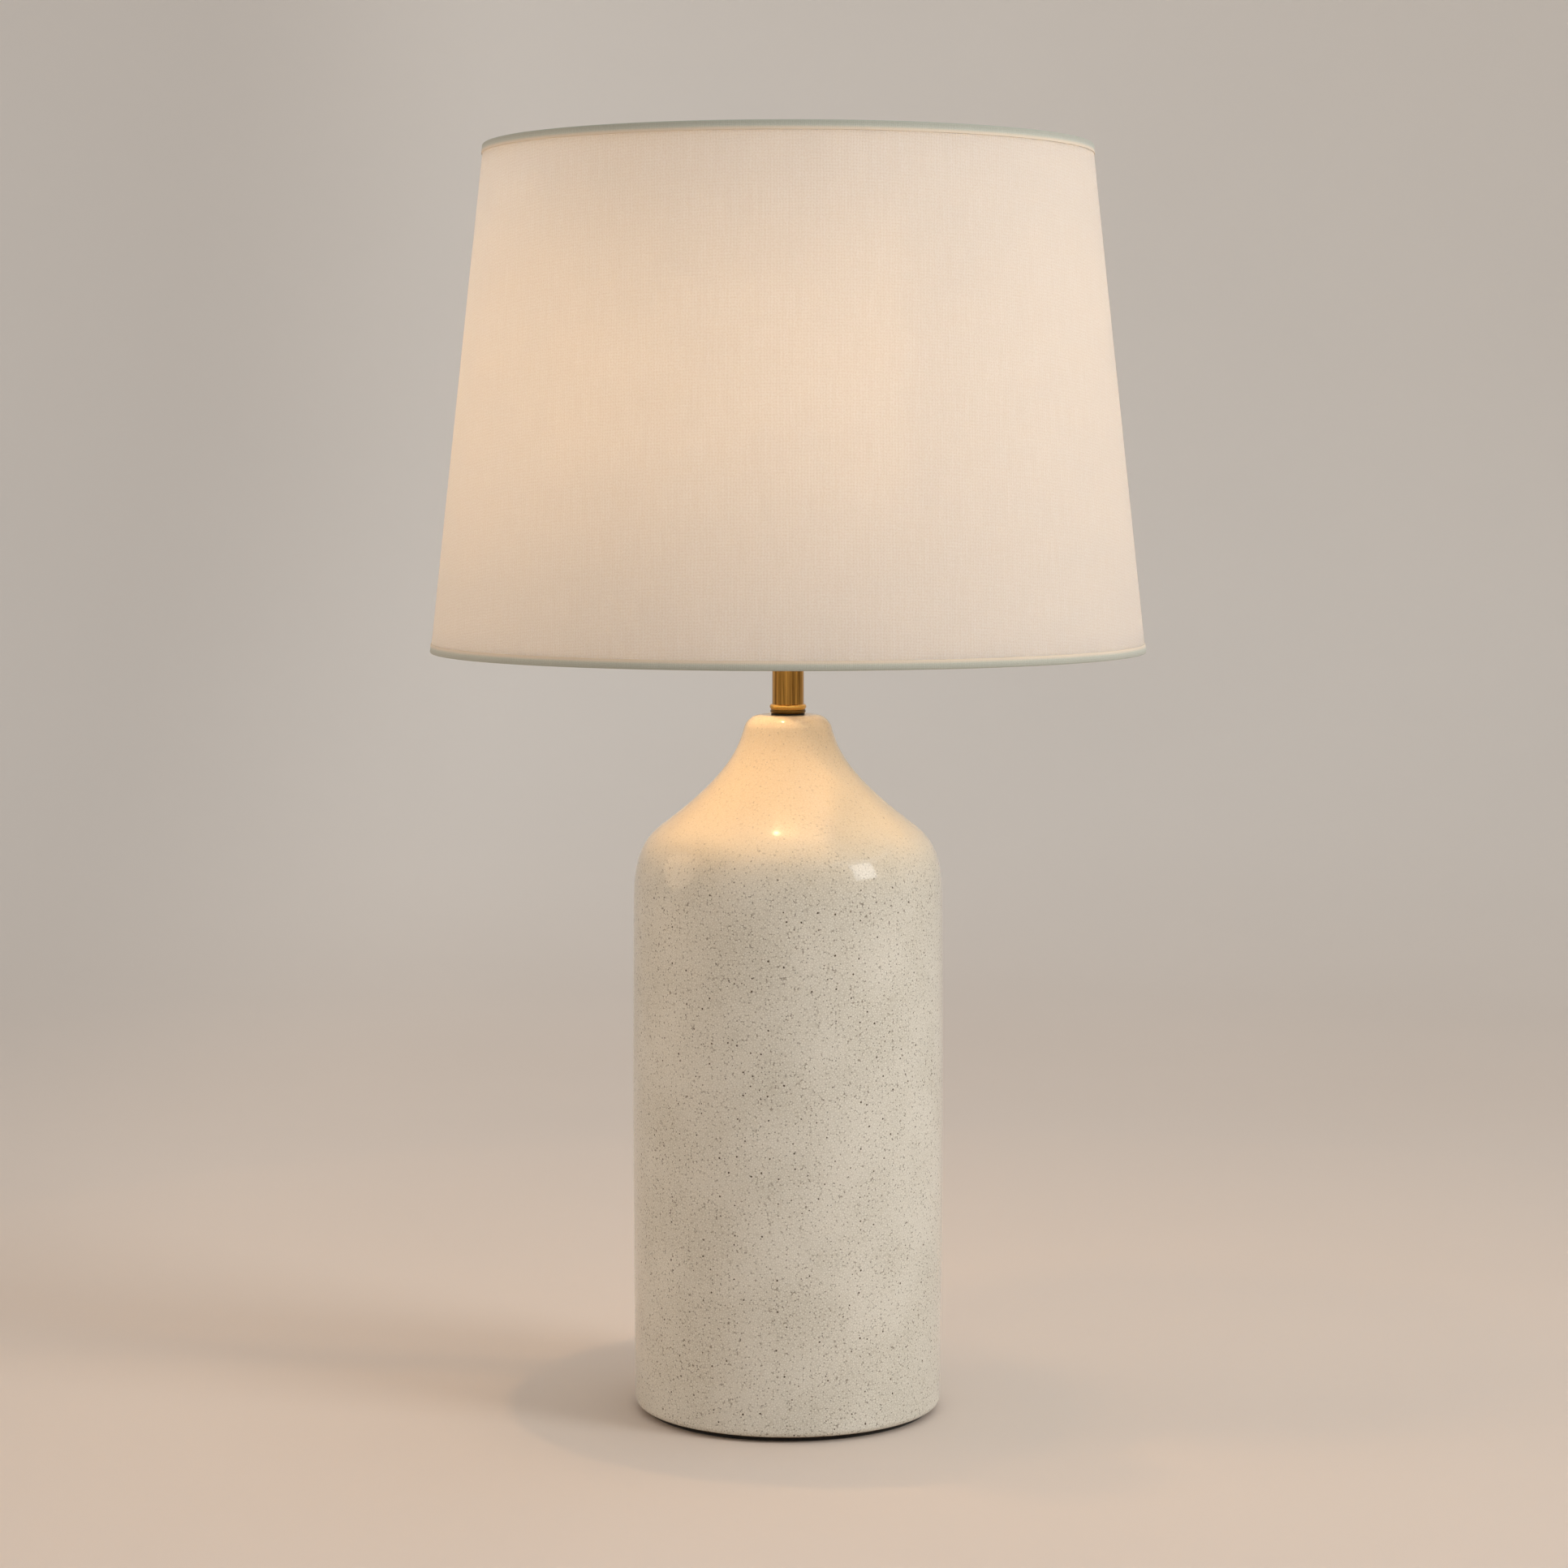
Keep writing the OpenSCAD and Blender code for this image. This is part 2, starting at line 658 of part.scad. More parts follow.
module shade_liner() {
    color("white") shade_layer(styrene_depth, styrene_t, cloth_bottom_z, cloth_top_z);
}

module shade_cover() {
    color("antiquewhite") shade_layer(cloth_depth, cloth_t, cloth_bottom_z, cloth_top_z);
}

// A strip of cloth folded round the wall's edge and the ring: edge_z is the fold, band_z its outer edge
module folded_trim(edge_z, band_z, tuck_z, ring_r) {
    up = band_z > edge_z ? 1 : -1;
    web_z = edge_z + up * trim_t;
    tuck_r = ring_r - ring_wire_r - fit;
    section = [[shade_r(edge_z), edge_z], [shade_r(band_z), band_z], [shade_r(band_z) - trim_t, band_z],
               [shade_r(web_z) - trim_t, web_z], [tuck_r, web_z], [tuck_r, tuck_z],
               [tuck_r - trim_t, tuck_z], [tuck_r - trim_t, edge_z]];
    revolve(section);
}

module shade_top_trim() {
    color("silver") difference() {
        folded_trim(shade_top_z, shade_top_z - trim_h, top_ring_z - 2.5, top_ring_r);
        spider_arms(arm_r + 0.2);
    }
}

module shade_bottom_trim() {
    color("silver") folded_trim(shade_bottom_z, shade_bottom_z + trim_h, bottom_ring_z + 2.5, bottom_ring_r);
}

// ---- Finial ----
module finial_ferrule() {
    color("goldenrod") translate([0, 0, finial_z]) difference() {
        revolve([[0, 0], [ferrule_r, 0], [ferrule_r, 1.6], [ferrule_r - 1.8, 2.6],
                 [ferrule_r - 1.8, ferrule_h], [0, ferrule_h]]);
        translate([0, 0, -1]) cylinder(r = stud_r + slip, h = ferrule_h + 2);
    }
}

module finial_ball() {
    seat = finial_z + ferrule_h + fit;
    flat_r = sqrt(pow(finial_ball_r, 2) - pow(finial_ball_z - seat, 2));
    start = -asin((finial_ball_z - seat) / finial_ball_r);
    color("gold") difference() {
        revolve(concat([[0, seat], [flat_r, seat]],
                       tail(arc([0, finial_ball_z], finial_ball_r, start, 90, 20))));
        translate([0, 0, seat - 1]) cylinder(r = stud_r + slip, h = finial_bore_top_z - seat + 1);
    }
}

ceramic_body();
base_pad();
cord_bushing();
base_washer();
lock_washer();
base_nut();
lamp_pipe();
neck_gasket();
check_ring();
neck_tube();
harp_saddle();
socket_cap();
cap_set_screw();
socket_shell();
socket_liner();
socket_insulator();
screw_shell();
centre_contact();
terminal_screws();
lead_live();
lead_neutral();
wire_connectors();
switch_stem();
switch_key();
bulb_envelope();
bulb_screw_cap();
bulb_insulator();
bulb_contact();
bulb_stem();
bulb_filaments();
harp_wire();
harp_top();
harp_sleeve_left();
harp_sleeve_right();
shade_frame();
shade_bottom_ring();
shade_liner();
shade_cover();
shade_top_trim();
shade_bottom_trim();
finial_ferrule();
finial_ball();
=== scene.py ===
import json
from math import asin, atan2, ceil, copysign, cos, degrees, hypot, pi, radians, sin, sqrt, tan

import bmesh
import bpy
from mathutils import Matrix, Vector, noise


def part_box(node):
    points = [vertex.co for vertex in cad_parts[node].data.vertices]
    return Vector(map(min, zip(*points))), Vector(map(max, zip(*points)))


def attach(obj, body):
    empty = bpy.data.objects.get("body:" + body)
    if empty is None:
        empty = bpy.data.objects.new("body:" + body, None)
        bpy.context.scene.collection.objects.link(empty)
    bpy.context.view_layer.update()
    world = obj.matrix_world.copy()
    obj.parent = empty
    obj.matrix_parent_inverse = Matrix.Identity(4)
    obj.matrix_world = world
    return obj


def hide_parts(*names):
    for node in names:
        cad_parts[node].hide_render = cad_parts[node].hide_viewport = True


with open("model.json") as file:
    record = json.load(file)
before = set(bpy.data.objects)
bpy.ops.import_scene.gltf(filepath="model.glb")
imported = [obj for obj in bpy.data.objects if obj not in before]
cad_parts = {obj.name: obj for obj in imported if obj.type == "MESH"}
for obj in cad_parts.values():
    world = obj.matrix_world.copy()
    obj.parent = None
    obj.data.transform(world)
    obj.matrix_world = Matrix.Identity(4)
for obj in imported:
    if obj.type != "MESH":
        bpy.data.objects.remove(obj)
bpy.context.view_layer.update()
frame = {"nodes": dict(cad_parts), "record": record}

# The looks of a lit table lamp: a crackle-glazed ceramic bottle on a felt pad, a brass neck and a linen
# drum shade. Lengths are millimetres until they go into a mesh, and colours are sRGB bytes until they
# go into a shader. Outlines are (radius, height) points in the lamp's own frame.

MM = 0.001
BODY_OF = {node: body for body, nodes in frame["record"]["behaviour"]["bodies"].items() for node in nodes}
PIPE_PITCH, CAP_PITCH = 25.4 / 27, 25.4 / 7


# ---- Camera, stage and light
CAMERA_AT, CAMERA_TILT, LENS = (-0.002, -1.8616, 0.4789), 4.99, 85.7
FLOOR_FLAT_R, SWEEP_R, WALL_TOP = 1500, 1500, 2300
WINDOW_TOWARDS, WINDOW_SIZE, WINDOW_COLOUR = (0, 0, 0.35), 0.8, (0.97, 0.99, 1.0)
BULB_COLOUR, GLASS_GLOW, FILAMENT_GLOW = (1.0, 0.60, 0.28, 1), 3.0, 3.0
GLOBE_WATTS, HOT_SPOT_WATTS = 0.8, 0.8


def add_object(name, data):
    made = bpy.data.objects.new(name, data)
    bpy.context.scene.collection.objects.link(made)
    return made


def add_camera():
    data = bpy.data.cameras.new("camera")
    data.lens = LENS
    camera = add_object("camera", data)
    camera.location = CAMERA_AT
    camera.rotation_euler = (radians(90 - CAMERA_TILT), 0, 0)
    bpy.context.scene.camera = camera


def add_light(name, kind, at, watts, colour):
    data = bpy.data.lights.new(name, kind)
    data.energy = watts
    data.color = colour
    light = add_object(name, data)
    light.location = at
    return light


def add_area_light(name, at, towards, size, watts, colour, shape="DISK"):
    light = add_light(name, "AREA", at, watts, colour)
    light.data.shape = shape
    light.data.size = size
    light.rotation_euler = (Vector(towards) - Vector(at)).to_track_quat("-Z", "Y").to_euler()
    return light


def add_bulb_light(name, at, radius, watts):
    light = add_light(name, "POINT", at, watts, BULB_COLOUR[:3])
    light.data.shadow_soft_size = radius
    light.data.cycles.use_multiple_importance_sampling = False
    return light


def add_lights():
    # Only half of the window's light shines in the glaze, and it stands in front of the other half
    window = (WINDOW_TOWARDS, WINDOW_SIZE)
    add_area_light("key", (2.07, -1.11, 1.33), *window, 11.5, WINDOW_COLOUR, "SQUARE").visible_glossy = False
    add_area_light("key_shine", (2.05, -1.1, 1.32), *window, 10, WINDOW_COLOUR, "SQUARE")
    add_area_light("fill", (-1.9, 0.1, 0.9), (0, 0, 0.25), 1.2, 5.5, (1.0, 0.70, 0.44))
    # The bulb's whole globe lights the lamp, and the hot spot inside it makes the highlight in the glaze
    high = span("bulb_envelope")[1]
    globe_z = (high.z - high.x) * MM
    add_bulb_light("globe_light", (0, 0, globe_z - 0.010), 0.026, GLOBE_WATTS).visible_glossy = False
    add_bulb_light("hot_spot", (-0.022, -0.012, globe_z - 0.012), 0.003, HOT_SPOT_WATTS)
    world = bpy.data.worlds.new("studio")
    world.use_nodes = True
    tree = world.node_tree
    background = tree.nodes["Background"]
    background.inputs["Color"].default_value = (0.94, 0.97, 1.0, 1)
    # The room is brighter on the window's side, at +X
    towards = tree.nodes.new("ShaderNodeTexCoord").outputs["Generated"]
    side = add("SeparateXYZ", {0: towards}).outputs[0]
    tree.links.new(ramp(side, -0.1, 0.95, 0.50, 1.65), background.inputs["Strength"])
    bpy.context.scene.world = world
    bpy.context.scene.view_settings.view_transform = "Standard"


# ---- Outlines
def span(node):
    """The lowest and the highest corner of a CAD node, in millimetres."""
    low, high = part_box(node)
    return low / MM, high / MM


def middle(node, axis):
    """The middle of a CAD node along axis 0, 1 or 2, in millimetres."""
    low, high = span(node)
    return (low[axis] + high[axis]) / 2


def lerp(a, b, t):
    return a + (b - a) * t


def arc(centre, radius, start, end, steps):
    """Points on an arc, from start to end degrees, 0 pointing outwards and 90 up."""
    angles = [radians(lerp(start, end, i / steps)) for i in range(steps + 1)]
    return [(centre[0] + radius * cos(a), centre[1] + radius * sin(a)) for a in angles]


def unit_step(angle):
    """A step of one unit, 0 degrees pointing outwards and 90 up."""
    return Vector((cos(radians(angle)), sin(radians(angle))))


def around(count):
    """The angles of count points once round the axis."""
    return [2 * pi * k / count for k in range(count)]


def circle(radius, z, angles):
    return [(radius * cos(a), radius * sin(a), z) for a in angles]


def bezier(a, b, c, d, steps):
    """Points on the cubic curve from a to d that b and c pull."""
    a, b, c, d = (Vector(p) for p in (a, b, c, d))
    points = []
    for i in range(steps + 1):
        t = i / steps
        u = 1 - t
        points.append(tuple(u**3 * a + 3 * u * u * t * b + 3 * u * t * t * c + t**3 * d))
    return points


def rounded(corners, radius=0.3, steps=4):
    """An outline with its corners rounded. A third number at a corner is that corner's own radius."""
    points = []
    for i, corner in enumerate(corners):
        here = Vector(corner[:2])
        r = corner[2] if len(corner) > 2 else radius
        before = Vector(corners[i - 1][:2]) - here
        after = Vector(corners[(i + 1) % len(corners)][:2]) - here
        turn = 0 if min(before.length, after.length) < 1e-6 else pi - before.angle(after)
        if r <= 0 or here.x < 1e-6 or turn < radians(8):
            points.append(tuple(here))
            continue
        cut = min(r * tan(turn / 2), 0.45 * before.length, 0.45 * after.length)
        start = here + before.normalized() * cut
        end = here + after.normalized() * cut
        for k in range(steps + 1):
            t = k / steps
            points.append(tuple((1 - t) ** 2 * start + 2 * t * (1 - t) * here + t * t * end))
    return points


def washer(node, inner, corner):
    """The outline of a plain ring that fills a CAD node's box, round a hole of radius inner."""
    low, high = span(node)
    return rounded([(inner, low.z), (high.x, low.z), (high.x, high.z), (inner, high.z)], corner)


def inset(points, depth):
    """The inner points of an outline that runs upwards, moved by depth towards the axis."""
    moved = []
    for before, here, after in zip(points, points[1:], points[2:]):
        along = Vector(after) - Vector(before)
        along.normalize()
        moved.append((here[0] - depth * along.y, here[1] + depth * along.x))
    return moved


def dense(points, step):
    """The outline with extra points, no two further apart than step."""
    filled = []
    for (r0, z0), (r1, z1) in zip(points, points[1:] + points[:1]):
        count = max(1, ceil(hypot(r1 - r0, z1 - z0) / step))
        filled += [(lerp(r0, r1, k / count), lerp(z0, z1, k / count)) for k in range(count)]
    return filled


def upright(radius, start, end, count):
    """count + 1 points up a straight side, for a thread."""
    return [(radius, lerp(start, end, k / count)) for k in range(count + 1)]


def waver(angle, z, turns, rise):
    """Noise from -1 to 1, the faster round a piece the more turns, and changing over rise in height."""
    return noise.noise(Vector((cos(angle) * turns, sin(angle) * turns, z / rise)))


def groove(angle, count):
    """The depth from 0 to 1 of count round grooves about a piece."""
    return 0.5 + 0.5 * cos(count * angle)


def threaded(low, high, pitch, depth, past=0):
    """A shape for turned: a round-crested thread on radii past a limit, that fades out at low and high."""
    def shape(r, z, angle):
        fade = min(1, max(0, (z - low) / pitch), max(0, (high - z) / pitch))
        return r - depth * fade * (0.5 - 0.5 * cos(2 * pi * (z / pitch) - angle)) if r > past else r
    return shape


# ---- Mesh tools
def mesh_piece(name, bm, crisp=False):
    """Makes a smooth-shaded object of a bmesh that is in millimetres."""
    bmesh.ops.recalc_face_normals(bm, faces=bm.faces)
    bmesh.ops.scale(bm, vec=(MM, MM, MM), verts=bm.verts)
    mesh = bpy.data.meshes.new(name)
    bm.to_mesh(mesh)
    bm.free()
    mesh.shade_smooth()
    piece = add_object(name, mesh)
    if crisp:
        piece.modifiers.new("even_shading", "WEIGHTED_NORMAL").weight = 80
    return piece


def mapped_face(bm, uv, corners):
    """A face over corners, each of them a vertex and its place on the map."""
    face = bm.faces.new([vert for vert, _ in corners])
    for loop, (_, spot) in zip(face.loops, corners):
        loop[uv].uv = spot


def skinned(name, rings, ends="closed", crisp=False, lengths=None, width=1, lay=None):
    """A piece with faces between rings of points. A ring of one point is a tip. ends is closed where the last
    ring meets the first, capped or open. The UV map wrap holds width once round, and lengths along."""
    bm = bmesh.new()
    uv = bm.loops.layers.uv.new("wrap")
    rings = [[bm.verts.new(spot) for spot in ring] for ring in rings]
    lengths = lengths or range(len(rings) + 1)
    for i in range(len(rings) - (ends != "closed")):
        low, high = rings[i], rings[(i + 1) % len(rings)]
        columns = max(len(low), len(high))
        for k in range(columns if columns > 1 else 0):
            corners = {}
            for ring, column, v in ((low, k, i), (low, k + 1, i), (high, k + 1, i + 1), (high, k, i + 1)):
                spot = (width * column / columns * MM, lengths[v] * MM)
                corners.setdefault(ring[column % len(ring)], spot)
            mapped_face(bm, uv, corners.items())
    if ends == "capped":
        bm.faces.new(rings[0][::-1])
        bm.faces.new(rings[-1])
    if lay:
        bmesh.ops.transform(bm, matrix=lay, verts=bm.verts)
    return mesh_piece(name, bm, crisp)


def turned(name, outline, segments, shape=None, ends="closed", crisp=True, lay=None):
    """A piece turned on a lathe. shape(r, z, angle) may give the radius at a place, for threads, knurls and
    the unevenness of handwork."""
    shape = shape or (lambda r, z, angle: r)
    rings, lengths = [], [0]
    for (r, z), (next_r, next_z) in zip(outline, outline[1:] + outline[:1]):
        radii = [(shape(r, z, a), a) for a in around(segments)] if r >= 1e-6 else [(0, 0)]
        rings.append([(here * cos(a), here * sin(a), z) for here, a in radii])
        lengths.append(lengths[-1] + hypot(next_r - r, next_z - z))
    return skinned(name, rings, ends, crisp, lengths, 2 * pi * max(r for r, _ in outline), lay)


def laid(at, angle, axis="X"):
    """Moves the lathe's axis to a place and turns it by angle degrees."""
    return Matrix.Translation(at) @ Matrix.Rotation(radians(angle), 4, axis)


def swept(name, path, radius, sides, ends="capped"):
    """A wire along a path of points. radius is a number, or a function of the share of the path."""
    path = [Vector(p) for p in path]
    closing = [path[0] - path[-1]] if ends == "closed" else []
    steps = [b - a for a, b in zip(path, path[1:])] + closing
    side, rings, lengths = None, [], [0]
    for i, at in enumerate(path):
        back = steps[i - 1] if i or closing else steps[0]
        ahead = steps[i] if i < len(steps) else steps[-1]
        along = (back.normalized() + ahead.normalized()).normalized()
        side = side or along.orthogonal().normalized()
        side = (side - along * side.dot(along)).normalized()
        up = along.cross(side)
        r = radius(i / (len(path) - 1)) if callable(radius) else radius
        rings.append([at + r * (cos(a) * side + sin(a) * up) for a in around(sides)])
        lengths.append(lengths[-1] + ahead.length)
    return skinned(name, rings, ends, lengths=lengths)


def joined(name, pieces):
    """One piece made of several, in the first one's place."""
    with bpy.context.temp_override(active_object=pieces[0], selected_editable_objects=pieces):
        bpy.ops.object.join()
    pieces[0].name = name
    pieces[0].data.name = name
    return pieces[0]


def apply_modifiers(piece):
    """Bakes a piece's modifiers into its mesh."""
    seen = piece.evaluated_get(bpy.context.evaluated_depsgraph_get())
    mesh = bpy.data.meshes.new_from_object(seen)
    piece.modifiers.clear()
    piece.data = mesh


def cut(piece, cutter):
    """Takes cutter's shape out of piece, and deletes the cutter."""
    tool = piece.modifiers.new("cut", "BOOLEAN")
    tool.object = cutter
    tool.solver = "EXACT"
    apply_modifiers(piece)
    bpy.data.objects.remove(cutter)


def drill(piece, radius, start, end, segments, lay):
    """Drills a round hole from start to end along the axis that lay gives."""
    bit = [(0, start), (radius, start), (radius, end), (0, end)]
    cut(piece, turned("drill", bit, segments, lay=lay))


def place(piece, node, material):
    """The piece stands for the CAD node: it takes the material, rides on its body, and the node is hidden."""
    piece.data.materials.clear()
    piece.data.materials.append(material)
    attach(piece, BODY_OF[node])
    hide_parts(node)
    return piece


def finish_nodes(material, *nodes):
    """Gives CAD nodes whose shapes are right their material."""
    for node in nodes:
        data = frame["nodes"][node].data
        data.materials.clear()
        data.materials.append(material)


# ---- Node tools
def linear(colour):
    """An sRGB colour in bytes as linear RGBA."""
    shares = [c / 255 for c in colour]
    return tuple(c / 12.92 if c <= 0.04045 else ((c + 0.055) / 1.055) ** 2.4 for c in shares) + (1,)


def add(kind, inputs, **settings):
    """Adds a node beside those that its inputs come from. inputs maps a socket's name or number to a value
    or to another node's output."""
    tree = next(value.id_data for value in inputs.values() if isinstance(value, bpy.types.NodeSocket))
    made = tree.nodes.new("ShaderNode" + kind)
    for name, value in settings.items():
        setattr(made, name, value)
    for key, value in inputs.items():
        if isinstance(value, bpy.types.NodeSocket):
            tree.links.new(value, made.inputs[key])
        else:
            made.inputs[key].default_value = value
    return made


def calc(operation, a, b=0.0, c=0.0):
    return add("Math", {0: a, 1: b, 2: c}, operation=operation).outputs[0]


def times(product, *factors):
    """The product of sockets and numbers, the first of them a socket."""
    for factor in factors:
        product = calc("MULTIPLY", product, factor)
    return product


def blend(share, a, b):
    """Colour a going to b by share. a and b are byte colours or sockets."""
    a, b = (linear(c) if isinstance(c, tuple) else c for c in (a, b))
    return add("Mix", {0: share, 6: a, 7: b}, data_type="RGBA", blend_type="MIX").outputs[2]


def ramp(value, low, high, out_low=0.0, out_high=1.0):
    """value taken smoothly from low..high to out_low..out_high."""
    made = add("MapRange", {0: value, 1: low, 2: high, 3: out_low, 4: out_high},
               interpolation_type="SMOOTHSTEP")
    return made.outputs[0]


def spot_of(shader):
    """Where a point is on the piece, in metres."""
    return shader.id_data.nodes.new("ShaderNodeTexCoord").outputs["Object"]


def wrap_of(shader, name="wrap"):
    made = shader.id_data.nodes.new("ShaderNodeUVMap")
    made.uv_map = name
    return made.outputs[0]


def stretched(where, stretch):
    return add("VectorMath", {0: where, 1: stretch}, operation="MULTIPLY").outputs[0]


def height_of(where):
    return add("SeparateXYZ", {0: where}).outputs[2]


def off_axis(where):
    """How far a point is from the lamp's axis, in metres."""
    flat = stretched(where, (1, 1, 0))
    return add("VectorMath", {0: flat}, operation="LENGTH").outputs["Value"]


def drifted(at, where, scale, reach):
    """at moved about by up to reach metres, by noise read at where."""
    drift = add("TexNoise", {"Vector": where, "Scale": scale, "Detail": 2.0}).outputs["Color"]
    drift = stretched(drift, (reach,) * 3)
    return add("VectorMath", {0: at, 1: drift}, operation="ADD").outputs[0]


def grain(where, size, detail=3.0, roughness=0.5):
    """Noise from 0 to 1 whose blotches are about size millimetres."""
    made = add("TexNoise", {"Vector": where, "Scale": 1 / (size * MM), "Detail": detail,
                            "Roughness": roughness})
    return made.outputs["Factor"] if "Factor" in made.outputs else made.outputs["Fac"]


def cells(where, size, feature="F1"):
    """Irregular cells about size millimetres wide."""
    return add("TexVoronoi", {"Vector": where, "Scale": 1 / (size * MM)}, feature=feature)


def bump(height, depth, strength):
    """A normal from a height of 0 to 1 that stands for depth millimetres."""
    return add("Bump", {"Height": height, "Distance": depth * MM, "Strength": strength}).outputs[0]


def new_material(name, colour=None, **values):
    """A material with one Principled shader. values are its sockets, with _ for a space."""
    material = bpy.data.materials.new(name)
    material.use_nodes = True
    shader = material.node_tree.nodes["Principled BSDF"]
    if colour:
        shader.inputs["Base Color"].default_value = linear(colour)
    for key, value in values.items():
        shader.inputs[key.replace("_", " ")].default_value = value
    return material, shader


def set_inputs(shader, **sockets):
    for key, socket in sockets.items():
        shader.id_data.links.new(socket, shader.inputs[key.replace("_", " ")])


def let_through(shader, share, inputs):
    """Lets a share of the light through a sheet."""
    glow = add("BsdfTranslucent", inputs)
    both = add("MixShader", {0: share, 1: shader.outputs[0], 2: glow.outputs[0]})
    tree = shader.id_data
    tree.links.new(both.outputs[0], tree.nodes["Material Output"].inputs["Surface"])


# ---- Materials
def glaze_material():
    """Off-white crackle glaze with iron spots; bare clay under the foot and in the recess."""
    material, shader = new_material("crackle_glaze", Coat_Weight=0.9, Coat_Roughness=0.09,
                                    Coat_IOR=1.5, Specular_IOR_Level=0.1)
    where = spot_of(shader)
    height = height_of(where)
    bent = drifted(where, where, 260.0, 0.0009)
    craze = 1.1
    edge = cells(bent, craze, "DISTANCE_TO_EDGE").outputs["Distance"]
    line = ramp(edge, 0.0, 0.30, 1.0, 0.0)
    # Furthest from the middles of the cells is where the cracks meet, and the stain gathers there
    far = cells(bent, craze).outputs["Distance"]
    corner = ramp(far, 0.66, 0.84)
    stain = ramp(grain(where, 1.4, 2.0), 0.44, 0.60, 0.15, 1.0)
    patch = grain(where, 40, 2.0)
    # Painted lamplight: from the shoulder up the glaze is painted warmer and its cracks and spots fainter,
    # where the bulb's light falls
    shoulder = 0.262
    wall = ramp(height, shoulder, 0.300, 1.0, 0.25)
    tone = times(wall, ramp(patch, 0.3, 0.7, 0.75, 1.0))
    pale = blend(ramp(patch, 0.3, 0.7), (231, 228, 217), (224, 221, 209))
    pale = blend(ramp(height, shoulder, 0.310, 0.0, 0.8), pale, (236, 215, 178))
    pale = blend(ramp(far, 0.0, 0.5, 0.3, 0.0), pale, (238, 234, 223))
    colour = blend(times(line, 0.30, tone), pale, (150, 136, 112))
    colour = blend(times(corner, stain, tone, 0.68), colour, (90, 74, 50))
    # Iron spots, small faint ones and fewer dark ones, each in some cells of a coarser pattern
    for size, reach, rare, strength in ((2.0, 0.2, 0.35, 0.6), (4.0, 0.13, 0.3, 0.95)):
        spots = cells(bent, size)
        chance = add("SeparateColor", {0: spots.outputs["Color"]}).outputs[0]
        keep = ramp(chance, rare, rare + 0.3)
        past = calc("SUBTRACT", spots.outputs["Distance"], times(keep, reach))
        # wall keeps the spots faint on the shoulder too: painted lamplight
        inside = times(ramp(past, -0.03, 0.015, 1.0, 0.0), calc("GREATER_THAN", keep, 0.05), wall, strength)
        colour = blend(inside, colour, (70, 56, 34))
    # Bare clay where the foot was wiped clean, and in the recess under it
    ragged = calc("MULTIPLY_ADD", grain(where, 6), 0.0012, height)
    foot = ramp(ragged, 0.0034, 0.0040, 1.0, 0.0)
    inside = calc("LESS_THAN", off_axis(where), RECESS_R * MM + 0.0008)
    recess = times(inside, calc("LESS_THAN", height, (FLOOR_TOP + 2) * MM))
    bare = calc("MAXIMUM", foot, recess)
    clay = blend(grain(where, 1.2, 5.0), (172, 150, 122), (140, 116, 90))
    gloss = ramp(grain(where, 14, 2.0), 0.3, 0.7, 0.42, 0.52)
    relief = calc("SUBTRACT", 1.0, times(line, 0.5))
    set_inputs(shader, Base_Color=blend(bare, colour, clay),
               Roughness=calc("MAXIMUM", gloss, times(bare, 0.85)), Normal=bump(relief, 0.03, 0.35))
    return material


def woven(where, pitch):
    """Height of a plain weave from 0 to 1, and the shade of each thread, from a map in metres."""
    bent = drifted(where, where, 55.0, pitch * 0.8 * MM)
    bent = drifted(bent, where, 330.0, pitch * 0.85 * MM)
    apart = add("SeparateXYZ", {0: bent})
    u, v = (calc("SINE", times(apart.outputs[i], pi / (pitch * MM))) for i in (0, 1))
    across, along = (calc("ABSOLUTE", wave) for wave in (u, v))
    level = calc("MULTIPLY_ADD", across, 0.6, times(along, 0.4))
    tilt = times(u, v, calc("SUBTRACT", across, along), 0.5)
    # Thick and thin yarns: noise drawn out along each direction
    warp, weft = (grain(stretched(where, way), pitch * 0.8, 1.0) for way in ((1, 0.05, 1), (0.05, 1, 1)))
    yarn = calc("MULTIPLY_ADD", warp, 0.7, times(weft, 0.3))
    return calc("ADD", level, tilt), yarn


def linen_material(name, uv_map, bright, dark, pitch, through):
    """Plain-weave linen. through is the share of the light that passes it."""
    material, shader = new_material(name, Roughness=0.92, Specular_IOR_Level=0.25,
                                    Sheen_Weight=0.25, Sheen_Roughness=0.5)
    where = wrap_of(shader, uv_map)
    height, yarn = woven(where, pitch)
    colour = blend(ramp(yarn, 0.3, 0.7, 0.7, 1.0), dark, bright)
    # Painted shade where the threads dip under one another
    colour = blend(ramp(height, 0.1, 0.8, 0.45, 0.0), colour, dark)
    nubs = ramp(grain(where, pitch * 0.6, 2.0), 0.4, 0.7, 0.0, 0.6)
    colour = blend(nubs, colour, dark)
    # Painted shade in the gaps between the threads
    gap = ramp(height, 0.0, 0.25, 0.4, 0.0)
    colour = blend(gap, colour, tuple(round(c * 0.8) for c in dark))
    normal = bump(height, 0.12, 0.6)
    set_inputs(shader, Base_Color=colour, Normal=normal)
    if through:
        let_through(shader, through, {"Color": colour, "Normal": normal})
    return material


def paint_trim_shade_and_glow(material, band, edge):
    """Paints shade on a trim, darker towards the fold at its edge, and paints a little of the lit cover's
    glow at the other side.
    """
    shader = material.node_tree.nodes["Principled BSDF"]
    colour = shader.inputs["Base Color"].links[0].from_socket
    near = ramp(height_of(spot_of(shader)), edge * MM, band * MM)
    # Painted shade towards the fold
    colour = blend(ramp(near, 0.0, 0.75, 0.32, 0.0), colour, (128, 128, 114))
    # Painted glow of the lit cover beside the trim
    colour = blend(ramp(near, 0.55, 1.0, 0.0, 0.6), colour, (250, 226, 200))
    set_inputs(shader, Base_Color=colour)


